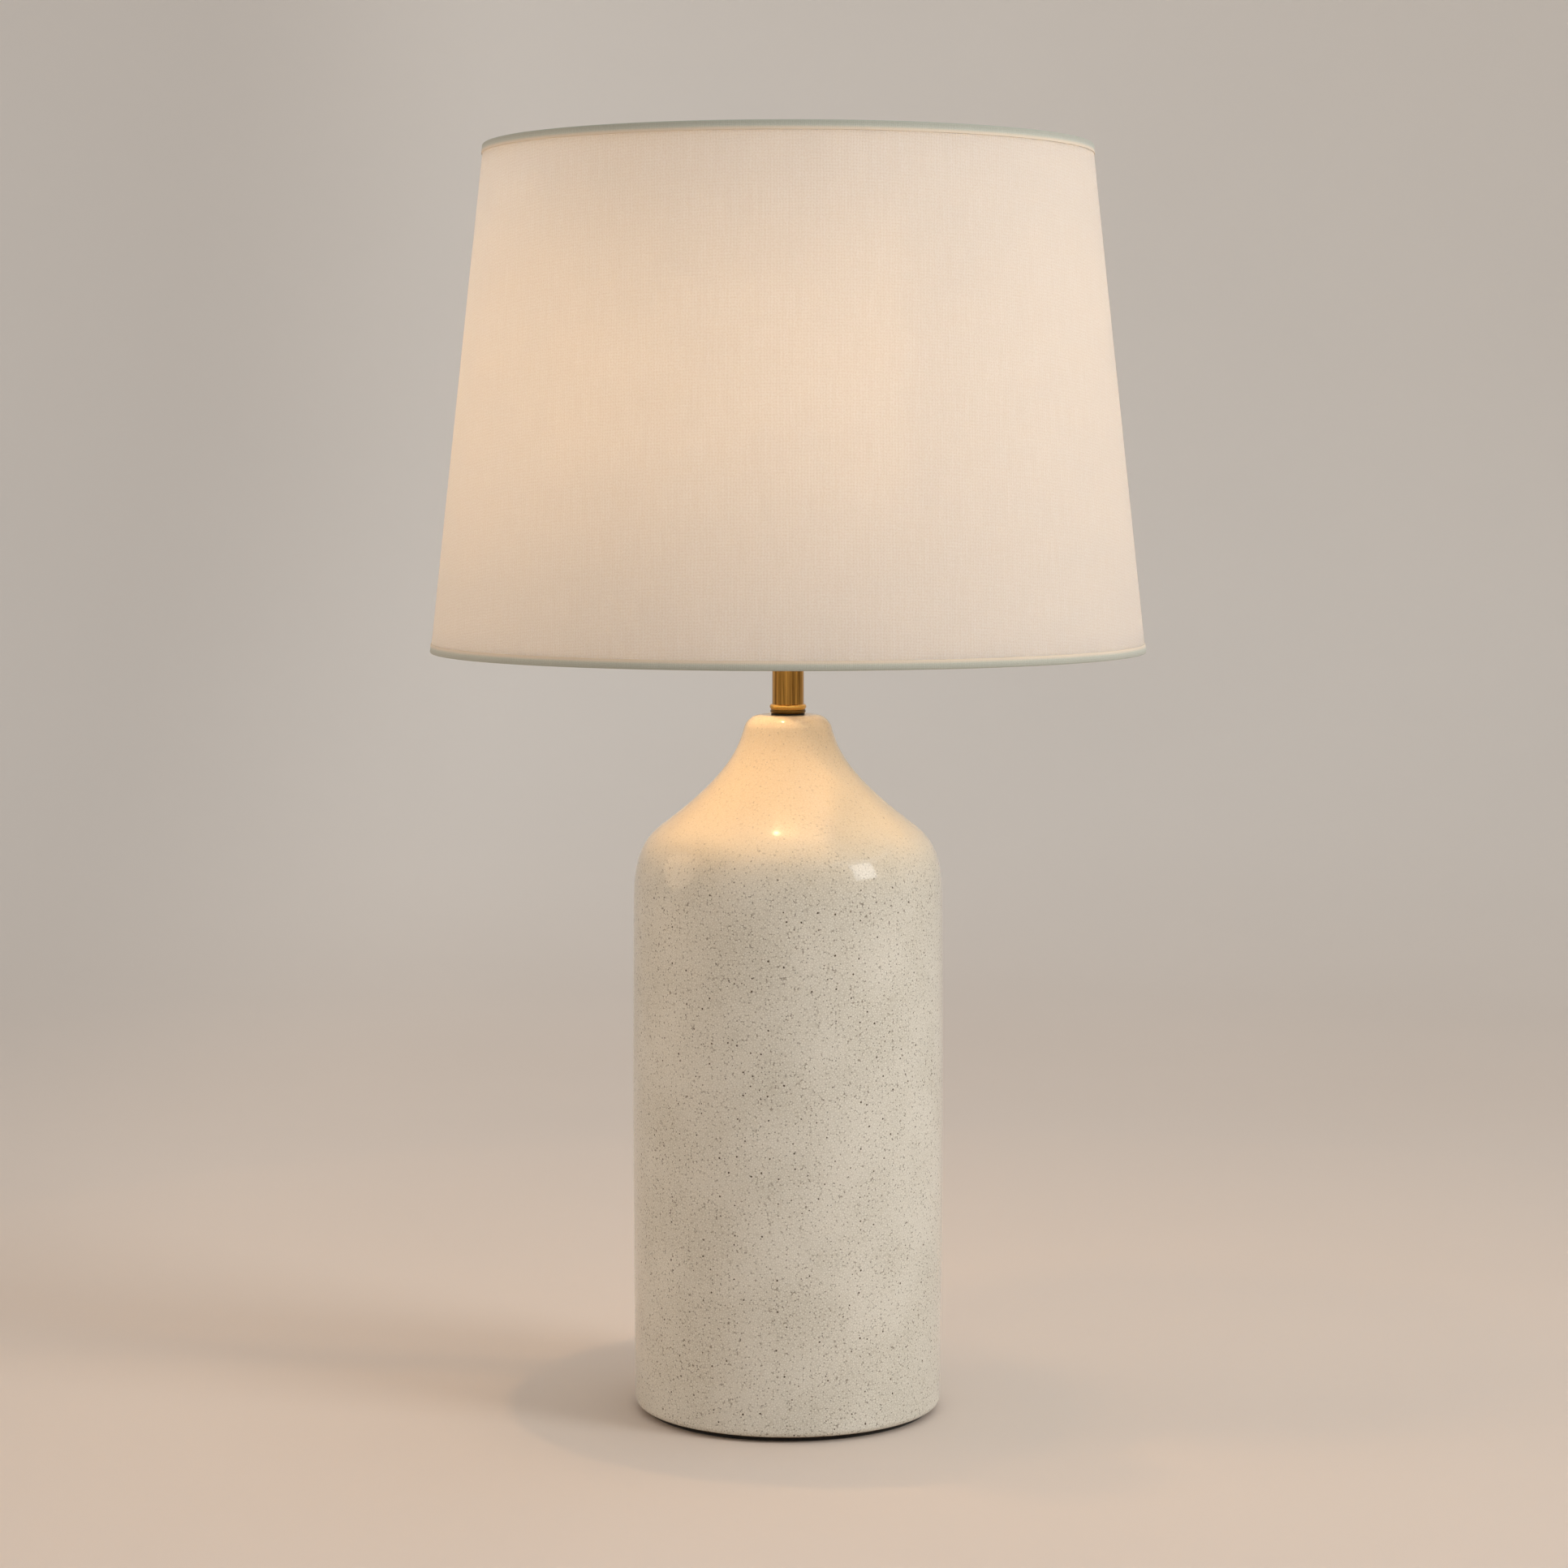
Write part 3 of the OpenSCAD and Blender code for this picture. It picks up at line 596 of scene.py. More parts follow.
def styrene_material():
    """Translucent white styrene with the faint mottle of rolled sheet."""
    material, shader = new_material("styrene", Roughness=0.45)
    where = wrap_of(shader)
    colour = blend(grain(where, 14, 4.0), (237, 242, 248), (233, 239, 245))
    normal = bump(grain(where, 0.8, 2.0), 0.03, 0.5)
    set_inputs(shader, Base_Color=colour, Normal=normal)
    let_through(shader, 0.72, {"Color": colour})
    return material


def metal(name, bright, dull, rough, patina, streaks, blotch=6.0, dents=0.01, painted_shade_below=None):
    """A metal with fine brushing along streaks, and duller patches of patina and handling; where long streaks
    draw the patches out into bands, as on the stem tube, they are also painted reflection. Below a given
    height, in millimetres, it is painted darker: painted shade."""
    material, shader = new_material(name, Metallic=1.0, Anisotropic=0.2)
    where = spot_of(shader)
    along = stretched(where, streaks)
    brushed = grain(along, 0.35, 3.0, 0.6)
    # Duller patches: patina and handling, and where streaks draw them into long bands, painted reflection
    wear_and_painted_reflection = ramp(grain(along, blotch, 4.0, 0.6), 0.35, 0.72)
    colour = blend(times(wear_and_painted_reflection, patina), bright, dull)
    colour = blend(times(ramp(brushed, 0.4, 0.8), patina), colour, dull)
    if painted_shade_below:
        # Painted shade: darker below the given height
        under_shade = ramp(height_of(where), (painted_shade_below - 0.3) * MM, (painted_shade_below + 0.3) * MM, 0.85, 0.0)
        colour = blend(under_shade, colour, (74, 48, 18))
    roughness = calc("MULTIPLY_ADD", brushed, rough * 0.7, rough * 0.65)
    roughness = calc("MULTIPLY_ADD", wear_and_painted_reflection, rough * 0.35, roughness)
    set_inputs(shader, Base_Color=colour, Roughness=roughness, Normal=bump(brushed, dents, 0.6))
    return material


def moulded(name, colour, speck, rough, pebble=0.5, depth=0.02, coat=0.0):
    """Moulded plastic, rubber or paint: a fine pebbled skin and faint flow marks."""
    material, shader = new_material(name, Coat_Weight=coat, Coat_Roughness=0.15)
    where = spot_of(shader)
    skin = grain(where, pebble, 3.0)
    flow = ramp(grain(where, pebble * 14, 3.0), 0.35, 0.7)
    shade = blend(times(flow, 0.5), colour, speck)
    shade = blend(ramp(skin, 0.62, 0.8), shade, speck)
    set_inputs(shader, Base_Color=shade, Normal=bump(skin, depth, 0.7),
               Roughness=calc("MULTIPLY_ADD", skin, 0.2, rough - 0.08))
    return material


def fibre(name, colour, thread_colour, size, depth):
    """Felt or fibre paper: short fibres lying every way."""
    material, shader = new_material(name, Sheen_Weight=0.3, Specular_IOR_Level=0.2)
    where = spot_of(shader)
    knots = grain(where, size * 5, 5.0, 0.7)
    fibres = [grain(stretched(where, way), size, 3.0) for way in ((1, 0.15, 1), (0.15, 1, 1))]
    web = calc("MAXIMUM", *fibres)
    shade = blend(ramp(web, 0.45, 0.75), colour, thread_colour)
    shade = blend(times(knots, 0.35), shade, thread_colour)
    set_inputs(shader, Base_Color=shade, Roughness=calc("MULTIPLY_ADD", web, 0.2, 0.78),
               Normal=bump(web, depth, 0.8))
    return material


def frosted_material():
    """The lit bulb's inside-frosted glass, a little dimmer where it meets the cap."""
    material, shader = new_material("frosted_glass", (252, 246, 236), Roughness=0.25,
                                    Emission_Color=BULB_COLOUR)
    where = spot_of(shader)
    base = span("bulb_envelope")[0].z
    lit = ramp(height_of(where), (base + 6) * MM, (base + 38) * MM, 0.25, 1.0)
    frost = ramp(grain(where, 1.1, 4.0), 0.3, 0.7, 0.94, 1.0)
    set_inputs(shader, Emission_Strength=times(lit, frost, GLASS_GLOW),
               Normal=bump(grain(where, 0.5, 2.0), 0.01, 0.3))
    return material


def clear_glass_material():
    material, shader = new_material("clear_glass", (236, 241, 238), Roughness=0.04,
                                    Transmission_Weight=0.9, IOR=1.5)
    set_inputs(shader, Normal=bump(grain(spot_of(shader), 5, 2.0), 0.05, 0.4))
    return material


def filament_material():
    """Phosphor-coated rods, glowing."""
    material, shader = new_material("filament", Roughness=0.7, Emission_Color=BULB_COLOUR)
    beads = grain(spot_of(shader), 0.9, 3.0)
    set_inputs(shader, Base_Color=blend(beads, (255, 206, 120), (255, 226, 170)),
               Emission_Strength=calc("MULTIPLY_ADD", beads, 2.0, FILAMENT_GLOW))
    return material


def stage_material():
    """A plain pale sweep, barely mottled."""
    material, shader = new_material("studio_sweep", Roughness=0.9, Specular_IOR_Level=0.1)
    where = spot_of(shader)
    mottle = grain(where, 420, 3.0)
    wall = blend(mottle, (231, 224, 216), (226, 219, 211))
    floor = blend(mottle, (226, 212, 199), (221, 207, 194))
    # The floor near the lamp is painted warmer than the wall: painted warm lamplight
    colour = blend(ramp(off_axis(where), 0.9, 2.4), floor, wall)
    # Painted shade: the sweep is painted dimmer away from the window
    side = add("SeparateXYZ", {0: where}).outputs[0]
    colour = blend(ramp(side, -0.75, -0.3, 0.6, 0.0), colour, (196, 188, 180))
    set_inputs(shader, Base_Color=colour)
    return material


# ---- Ceramic body and its pad
FOOT_R, SIDE_TOP_R, BELLY = 77.2, 77.4, 0.7
FOOT_ROUND, SHOULDER_Z = 3.5, 259.5
INFLECTION, INFLECTION_SLOPE = (58.8, 299.3), 38
NECK_R, NECK_SLOPE, LIP_ROUND = 22, 75.5, 9
SHOULDER_PULLS, NECK_PULLS = (28.5, 10), (32.5, 13.5)
BODY_WALL, CEILING, FLOOR_UNDER, FLOOR_TOP, RECESS_R = 5, 9, 28, 34, 70.5
PIPE_HOLE_R, CORD_HOLE_R = 5.5, 5.05


def hand_thrown(r, z, angle):
    """The small waver of a thrown and glazed wall."""
    if r < 20:
        return r
    rings = noise.noise(Vector((0.3, 0.7, z / 9)))
    return r + 0.13 * waver(angle, z, 1.3, 60) + 0.05 * rings


def side_r(z, foot_z):
    t = (z - foot_z) / (SHOULDER_Z - foot_z)
    return lerp(FOOT_R, SIDE_TOP_R, t) + 4 * BELLY * t * (1 - t)


def body_outline(foot_z, top_z):
    """The wall from the foot's side to the lip, and the lip."""
    side_z = foot_z + FOOT_ROUND
    slope_in, slope_up = unit_step(180 - INFLECTION_SLOPE), unit_step(180 - NECK_SLOPE)
    neck = Vector((NECK_R, top_z - LIP_ROUND * (1 - cos(radians(NECK_SLOPE)))))
    bend = Vector(INFLECTION)
    side = [(side_r(z, side_z), z) for _, z in upright(0, side_z, SHOULDER_Z, 70)]
    shoulder = bezier((SIDE_TOP_R, SHOULDER_Z), (SIDE_TOP_R, SHOULDER_Z + SHOULDER_PULLS[0]),
                      bend - SHOULDER_PULLS[1] * slope_in, bend, 28)
    flare = bezier(bend, bend + NECK_PULLS[0] * slope_in, neck - NECK_PULLS[1] * slope_up, neck, 28)
    lip = arc(neck - LIP_ROUND * unit_step(90 - NECK_SLOPE), LIP_ROUND, 90 - NECK_SLOPE, 90, 14)
    return side + shoulder[1:] + flare[1:], lip


def glazed_body():
    low, high = span("ceramic_body")
    foot_z, top_z = low.z, high.z
    wall, lip = body_outline(foot_z, top_z)
    ceiling_z = top_z - CEILING
    hollow = [p for p in inset(wall, BODY_WALL) if FLOOR_TOP + 3 < p[1] < ceiling_z - 0.5]
    foot = arc((FOOT_R - FOOT_ROUND, foot_z + FOOT_ROUND), FOOT_ROUND, -90, 0, 10)
    outline = [(RECESS_R, foot_z)] + foot + wall[1:] + lip[1:]
    outline += [(PIPE_HOLE_R + 0.6, top_z), (PIPE_HOLE_R, top_z - 0.6), (PIPE_HOLE_R, ceiling_z)]
    outline += [(hollow[-1][0], ceiling_z)] + hollow[::-3] + [(hollow[0][0], FLOOR_TOP)]
    outline += [(PIPE_HOLE_R, FLOOR_TOP), (PIPE_HOLE_R, FLOOR_UNDER)]
    outline += rounded([(PIPE_HOLE_R, FLOOR_UNDER), (RECESS_R, FLOOR_UNDER, 3), (RECESS_R, foot_z)])[1:-1]
    piece = turned("glazed_body", outline, 256, hand_thrown, crisp=False)
    drill(piece, CORD_HOLE_R, RECESS_R - 8, FOOT_R + 8, 48, laid((0, 0, middle("cord_bushing", 2)), -90))
    place(piece, "ceramic_body", glaze_material())


def felt_pad():
    pad = turned("felt_pad", washer("base_pad", 0, 0.9), 160, lambda r, z, a: r + 0.12 * waver(a, z, 9, 1))
    place(pad, "base_pad", fibre("felt", (26, 24, 22), (52, 47, 42), 0.5, 0.12))


# ---- Neck
POLISHED, ANTIQUE = ((240, 190, 100), (168, 116, 50)), ((226, 170, 84), (92, 60, 24))
NECK_BORE_R = 4.9


def collar_outline():
    """The check ring: a stepped foot, a bead above it and a seat for the tube."""
    low, high = span("check_ring")
    wide, z, bead = high.x, low.z, 1.3
    top = high.z - z
    outline = rounded([(4.95, 0), (wide - 1, 0, 0.25), (wide - 0.3, 0.9, 0.35), (wide - 0.3, 1.7, 0.2),
                       (wide - 0.75, 2.1, 0.15)])
    outline += arc((wide - bead, top - bead), bead, -48, 90, 14)
    tube_low, tube_high = span("neck_tube")
    seat_r = tube_high.x + 0.05
    outline += rounded([(seat_r, top, 0.15), (seat_r, tube_low.z - z), (4.95, tube_low.z - z, 0.2)], 0.1)
    return [(r, z + h) for r, h in outline]


def neck_pieces():
    rubber = moulded("rubber", (22, 22, 22), (40, 40, 40), 0.6)
    place(turned("gasket", washer("neck_gasket", NECK_BORE_R, 0.2), 96), "neck_gasket", rubber)
    polished = metal("polished_brass", *POLISHED, 0.13, 0.35, (1, 1, 0.2))
    # The collar's brass is painted darker under its bead: painted shade
    shaded_collar_brass = metal("collar_brass", *POLISHED, 0.13, 0.35, (1, 1, 0.2),
                      painted_shade_below=span("check_ring")[0].z + 2.2)
    place(turned("collar", collar_outline(), 160), "check_ring", shaded_collar_brass)
    # The stem tube's duller patches are drawn out into vertical bands: patina, and painted reflection of the
    # room
    antique = metal("antique_brass", *ANTIQUE, 0.2, 0.9, (1, 1, 0.015), 3.0)
    tube = washer("neck_tube", span("neck_tube")[1].x - 0.8, 0.25)
    place(turned("stem_tube", tube, 160), "neck_tube", antique)
    finish_nodes(metal("saddle_brass", *ANTIQUE, 0.2, 0.5, (0.1, 1, 1), 3.0), "harp_saddle")
    return polished, antique


# ---- Shade
CLOTH, LAP, SHEET, TAPE, FRAME_WIRE_R = 0.45, 14.0, 0.5, 0.4, 1.6


def shade_outline():
    """The shade's slope, and a function that gives its outer radius at a height."""
    top_low, top_high = span("shade_top_trim")
    bottom_low, bottom_high = span("shade_bottom_trim")
    slope = (top_high.x - bottom_high.x) / (top_low.z - bottom_low.z)
    return slope, lambda z: bottom_high.x + slope * (z - bottom_low.z)


def linen_cover(cover_r, taper):
    """Cloth cut as part of a ring, wrapped with its ends lapped at the back."""
    low, high = span("shade_cover")
    columns, rows = 640, 60
    bm = bmesh.new()
    cut_map = bm.loops.layers.uv.new("cut")
    grid = []
    for j in range(rows + 1):
        z = lerp(low.z, high.z, j / rows)
        radius = cover_r(z)
        from_apex = radius / taper
        extra = LAP / radius
        line = []
        for i in range(columns + 1):
            turn = lerp(-pi - extra / 2, pi + extra / 2, i / columns)
            # The end that laps over the start lies a cloth's thickness further out
            lifted = CLOTH * 1.15 * min(1, max(0, (turn - pi + extra * 0.5) / extra * 1.6))
            r = radius + lifted + 0.10 * waver(turn, z, 5, 70)
            spot = (from_apex * sin(turn * taper) * MM, from_apex * -cos(turn * taper) * MM)
            line.append((bm.verts.new((r * sin(turn), -r * cos(turn), z)), spot))
        grid.append(line)
    for a, b in zip(grid, grid[1:]):
        for i in range(columns):
            mapped_face(bm, cut_map, [a[i], a[i + 1], b[i + 1], b[i]])
    cover = mesh_piece("linen_cover", bm)
    thick = cover.modifiers.new("thickness", "SOLIDIFY")
    thick.thickness = CLOTH * MM
    thick.offset = -1
    linen = linen_material("linen", "cut", (252, 250, 248), (241, 235, 229), 1.4, 0.68)
    return place(cover, "shade_cover", linen)


def declare_cover(cover_r):
    """Reads the cover's radii at its lowest and highest edge; nothing uses them."""
    low, high = span("shade_cover")
    low_r, high_r = cover_r(low.z), cover_r(high.z)


def folded_trim(name, edge, band, ring_r, outside):
    """A tape glued on from band to edge, then folded inwards round the ring's wire."""
    up = copysign(1, band - edge)
    tuck_r = ring_r - 2 * FRAME_WIRE_R - 0.05
    tuck = edge + up * (FRAME_WIRE_R + 2.95)
    web = edge + up * TAPE
    section = rounded([(outside(edge), edge, 0.8), (outside(band), band, 0.18),
                       (outside(band) - TAPE, band, 0.05), (outside(web) - TAPE, web, 0.3),
                       (tuck_r, web, 0.3), (tuck_r, tuck, 0.05), (tuck_r - TAPE, tuck, 0.15),
                       (tuck_r - TAPE, edge, 0.8)], 0.2)
    trim = turned(name, dense(section, 1.2), 512, lambda r, z, a: r + 0.06 * waver(a, z, 26, 3), crisp=False)
    # The trim's linen is painted darker and greyer than the cover's: painted shade where the glow does not
    # pass
    cloth = linen_material(f"{name}_linen", "wrap", (205, 206, 194), (182, 183, 170), 0.9, 0.0)
    paint_trim_shade_and_glow(cloth, band, edge)
    return place(trim, f"shade_{name}", cloth)


def spider(wire):
    """The top ring, its three arms and the hub that sits on the harp, welded into one frame."""
    low, high = span("shade_frame")
    ring_z = high.z - FRAME_WIRE_R
    ring_at = -low.x - FRAME_WIRE_R
    hub_bore, hub_r, hub_t = 3.4, 11, 1.6
    hub_z = span("finial_ferrule")[0].z - 0.1 - hub_t
    hub_top = hub_z + hub_t
    parts = [swept("top_ring", circle(ring_at, ring_z, around(240)), FRAME_WIRE_R, 14, "closed")]
    hub = rounded([(hub_bore, hub_z), (hub_r, hub_z), (hub_r, hub_top), (hub_bore, hub_top)], 0.35)
    parts.append(turned("hub", hub, 96, crisp=False))

    def welded(t):
        """An arm's radius, with its welds at the hub and at the ring."""
        return 1.5 + 0.7 * max(0, 1 - t * 40) + 0.1 * max(0, 1 - (1 - t) * 40)

    for k in range(3):
        a = radians(90 + 120 * k)
        start = Vector((9.6, 0, hub_z + 0.75))
        end = Vector((ring_at - 0.2, 0, ring_z - 0.1))
        path = [Matrix.Rotation(a, 3, "Z") @ start.lerp(end, s / 24) for s in range(25)]
        parts.append(swept(f"arm_{k}", path, welded, 14))
    place(joined("spider_frame", parts), "shade_frame", wire)


def shade_pieces():
    slope, outside = shade_outline()
    taper = sin(atan2(-slope, 1))
    low, high = span("shade_cover")
    depth = outside(low.z) - high.x
    cover_r = lambda z: outside(z) - depth
    cover = linen_cover(cover_r, taper)

    low, high = span("shade_liner")
    depth_in = outside(low.z) - high.x
    wall = [(outside(z) - depth_in, z) for z in (low.z, high.z)]
    liner = turned("styrene_liner", dense(wall + [(r - SHEET, z) for r, z in wall[::-1]], 30), 320)
    place(liner, "shade_liner", styrene_material())

    wire = moulded("white_wire", (226, 224, 216), (204, 200, 190), 0.38, 0.4, 0.02, 0.3)
    spider(wire)
    low, high = span("shade_bottom_ring")
    ring_r = (high.z - low.z) / 2
    section = arc((high.x - ring_r, low.z + ring_r), ring_r, 0, 360, 16)[:-1]
    place(turned("bottom_ring", section, 240, crisp=False), "shade_bottom_ring", wire)

    low, top = span("shade_top_trim")
    trims = [folded_trim("top_trim", top.z, low.z, span("shade_frame")[1].x, outside)]
    bottom, high = span("shade_bottom_trim")
    trims.append(folded_trim("bottom_trim", bottom.z, high.z, span("shade_bottom_ring")[1].x, outside))
    declare_cover(cover_r)


# ---- Harp and finial
HARP_HALF_W, LEG_BEND, LEG_BEND_R, LEG_STRAIGHT, HARP_WIRE_R = 52, 35, 14, 23, 1.7
STUD_R, SEAT_DEPTH = 3.15, 10


def wire_line(x, z, steps):
    """The centre line of a wire bent in the XZ plane. Steps are (length, 0) or (radius, angle), and the
    heading starts at +Z and turns towards +X."""
    points, heading = [(x, 0, z)], 0.0
    for size, angle in steps:
        if angle == 0:
            count, start = max(2, ceil(size / 4)), (x, z)
            x, z = x + size * sin(heading), z + size * cos(heading)
            points += [(lerp(start[0], x, k / count), 0, lerp(start[1], z, k / count))
                       for k in range(1, count + 1)]
            continue
        side, turn, count = copysign(1, angle), radians(angle), ceil(abs(angle) / 4)
        cx, cz = x + side * size * cos(heading), z - side * size * sin(heading)
        for k in range(1, count + 1):
            h = heading + turn * k / count
            x, z = cx - side * size * cos(h), cz + side * size * sin(h)
            points.append((x, 0, z))
        heading += turn
    return points


def harp_bow(antique):
    low, high = span("harp_wire")
    arch_r = HARP_HALF_W - 6
    bend = radians(LEG_BEND)
    leg_x = middle("harp_sleeve_right", 0) + 0.9
    slant = (HARP_HALF_W - leg_x - 2 * LEG_BEND_R * (1 - cos(bend))) / sin(bend)
    rise = LEG_STRAIGHT + 2 * LEG_BEND_R * sin(bend) + slant * cos(bend)
    upper = high.z - HARP_WIRE_R - arch_r - low.z - rise
    up = [(LEG_STRAIGHT, 0), (LEG_BEND_R, LEG_BEND), (slant, 0), (LEG_BEND_R, -LEG_BEND), (upper, 0)]
    down = [(upper, 0), (LEG_BEND_R, -LEG_BEND), (slant, 0), (LEG_BEND_R, LEG_BEND), (LEG_STRAIGHT, 0)]
    arch = [(arch_r, -90), (2 * (HARP_HALF_W - arch_r), 0), (arch_r, -90)]

    def eased(t):
        """The wire's radius, smaller at its two cut ends."""
        return HARP_WIRE_R - 0.5 * max(0, 1 - min(t, 1 - t) * 180)

    path = wire_line(leg_x, low.z, up + arch + down)
    place(swept("harp_bow", path, eased, 18), "harp_wire", antique)


def harp_stud(polished):
    low, high = span("harp_top")
    seat_z = high.z - SEAT_DEPTH
    boss_r, seat_r = 5, 9
    outline = rounded([(0, low.z), (boss_r, low.z, 0.6), (boss_r, seat_z - 2, 0.4), (seat_r, seat_z - 2, 0.5),
                       (seat_r, seat_z, 0.4), (STUD_R, seat_z, 0.2)])
    outline += upright(STUD_R, seat_z + 0.2, high.z - 0.8, 90)
    outline += [(STUD_R - 0.7, high.z), (0, high.z)]
    cut_thread = threaded(seat_z, high.z, PIPE_PITCH, 0.35)
    place(turned("harp_stud", outline, 64, cut_thread, crisp=False), "harp_top", polished)


def harp_sleeve(side, polished):
    node = f"harp_sleeve_{side}"
    low, high = span(node)
    bore, wide, mid = 3.8, (high.x - low.x) / 2, middle(node, 2)
    outline = rounded([(bore, low.z), (wide, low.z, 0.5), (wide, mid - 1.1, 0.2), (wide - 0.35, mid - 0.8),
                       (wide - 0.35, mid + 0.8), (wide, mid + 1.1, 0.2), (wide, high.z, 0.5),
                       (bore, high.z)], 0.25)
    place(turned(f"{side}_sleeve", outline, 72, lay=Matrix.Translation((middle(node, 0), 0, 0))), node,
          polished)


def finial(polished):
    low, high = span("finial_ferrule")
    wide, bore = high.x, STUD_R + 0.1
    outline = rounded([(bore, low.z, 0.2), (wide, low.z, 0.3), (wide, low.z + 1.8, 0.3),
                       (wide - 1.6, low.z + 2.9, 0.5), (wide - 2.1, low.z + 4.2, 0.5),
                       (wide - 1.8, high.z, 0.1), (bore, high.z, 0.1)], 0.3)
    knurled = lambda r, z, a: r - 0.16 * groove(a, 60) if r > wide - 0.2 else r
    place(turned("finial_foot", outline, 360, knurled), "finial_ferrule", polished)
    low, high = span("finial_ball")
    ball_r = high.x
    centre = high.z - ball_r
    flat_r = sqrt(ball_r**2 - (centre - low.z) ** 2)
    start = -degrees(asin((centre - low.z) / ball_r))
    outline = [(bore, low.z), (flat_r - 0.4, low.z)] + arc((0, centre), ball_r, start + 4, 89.9, 44)[:-1]
    outline += [(0, high.z), (0, high.z - 6), (bore, high.z - 8)]
    place(turned("finial_knob", outline, 128, crisp=False), "finial_ball", polished)


# ---- Socket, switch and bulb
SOCKET_SHEET = 0.6


def socket_cup(brass):
    low, high = span("socket_cap")
    hub_r = 7
    hub_top, skirt_z, wide = low.z + 8, low.z + 16, high.x
    bell = bezier((hub_r, hub_top - 1), (hub_r + 0.5, hub_top + 4), (wide, hub_top + 2), (wide, skirt_z), 18)
    inner = [p for p in inset(bell, SOCKET_SHEET) if p[1] > hub_top + 0.3]
    bead_z = skirt_z + 3.4
    outline = rounded([(NECK_BORE_R, low.z, 0.2), (hub_r, low.z, 0.4)] + bell + [
        (wide, bead_z - 1.2), (wide - 0.3, bead_z - 0.5), (wide - 0.3, bead_z + 0.5), (wide, bead_z + 1.2),
        (wide, high.z, 0.25), (wide - SOCKET_SHEET, high.z, 0.1), (wide - SOCKET_SHEET, skirt_z + 1)]
                      + inner[::-1] + [(inner[0][0] - 0.3, hub_top, 0), (NECK_BORE_R, hub_top, 0.2)], 0.25)
    cup = turned("socket_cup", outline, 128)
    drill(cup, 1.3, 0, hub_r + 2, 32, laid((0, 0, low.z + 4), 90))
    place(cup, "socket_cap", brass)


def socket_sleeve(brass):
    """The shell, with two rolled grooves, a curled rim and a slot for the switch."""
    low, high = span("socket_shell")
    wide = high.x - 0.6
    outline = [(wide, low.z)]
    for ring_z in (low.z + 13, low.z + 33):
        outline += [(wide, ring_z - 1.2), (wide - 0.28, ring_z - 0.5), (wide - 0.28, ring_z + 0.5),
                    (wide, ring_z + 1.2)]
    outline += [(wide, high.z - 1.6)] + arc((wide - 0.1, high.z - 0.7), 0.7, -60, 180, 14)
    outline += [(wide - SOCKET_SHEET, high.z - 1.5), (wide - SOCKET_SHEET, low.z)]
    sleeve = turned("socket_sleeve", outline, 144)
    slot_r = 2.5
    rim = arc((0, middle("switch_stem", 2)), slot_r, 0, 180, 16)
    rim += [(-slot_r, low.z - 2), (slot_r, low.z - 2)]
    cut(sleeve, skinned("slot", [[(x, y, z) for x, z in rim] for y in (-wide - 5, -6)], "capped"))
    place(sleeve, "socket_shell", brass)


def screw_sleeve(aluminium):
    low, high = span("screw_shell")
    wide, hole_r, wall = high.x, 8, 0.5
    inner_r = wide - wall
    side = upright(wide, low.z + 0.4, high.z - 0.6, 90)
    outline = [(hole_r, low.z), (wide - 0.4, low.z)] + side + [(wide - 0.1, high.z), (wide - 0.4, high.z)]
    outline += [(inner_r, z) for _, z in side[::-1]] + [(inner_r - 0.5, low.z + 0.6), (hole_r, low.z + 0.6)]
    rolled = threaded(low.z + 2, high.z, CAP_PITCH, 0.12)
    place(turned("screw_sleeve", outline, 96, rolled, crisp=False), "screw_shell", aluminium)


def socket_pieces():
    brass = metal("socket_brass", (222, 184, 108), (160, 122, 62), 0.22, 0.3, (1, 1, 0.05), 5)
    zinc = metal("zinc_steel", (200, 202, 202), (146, 148, 146), 0.34, 0.4, (1, 0.2, 1), 4)
    aluminium = metal("aluminium_shell", (216, 217, 216), (170, 171, 170), 0.24, 0.3, (1, 1, 0.1))
    socket_cup(brass)
    socket_sleeve(brass)
    screw_sleeve(aluminium)
    finish_nodes(fibre("fibre_paper", (168, 134, 92), (136, 104, 68), 0.4, 0.04), "socket_liner")
    phenolic = moulded("phenolic", (52, 34, 26), (74, 52, 40), 0.42, 0.6, 0.02, 0.2)
    finish_nodes(phenolic, "socket_insulator")
    finish_nodes(brass, "centre_contact", "terminal_screws", "switch_stem")
    finish_nodes(zinc, "cap_set_screw")
    return zinc, aluminium


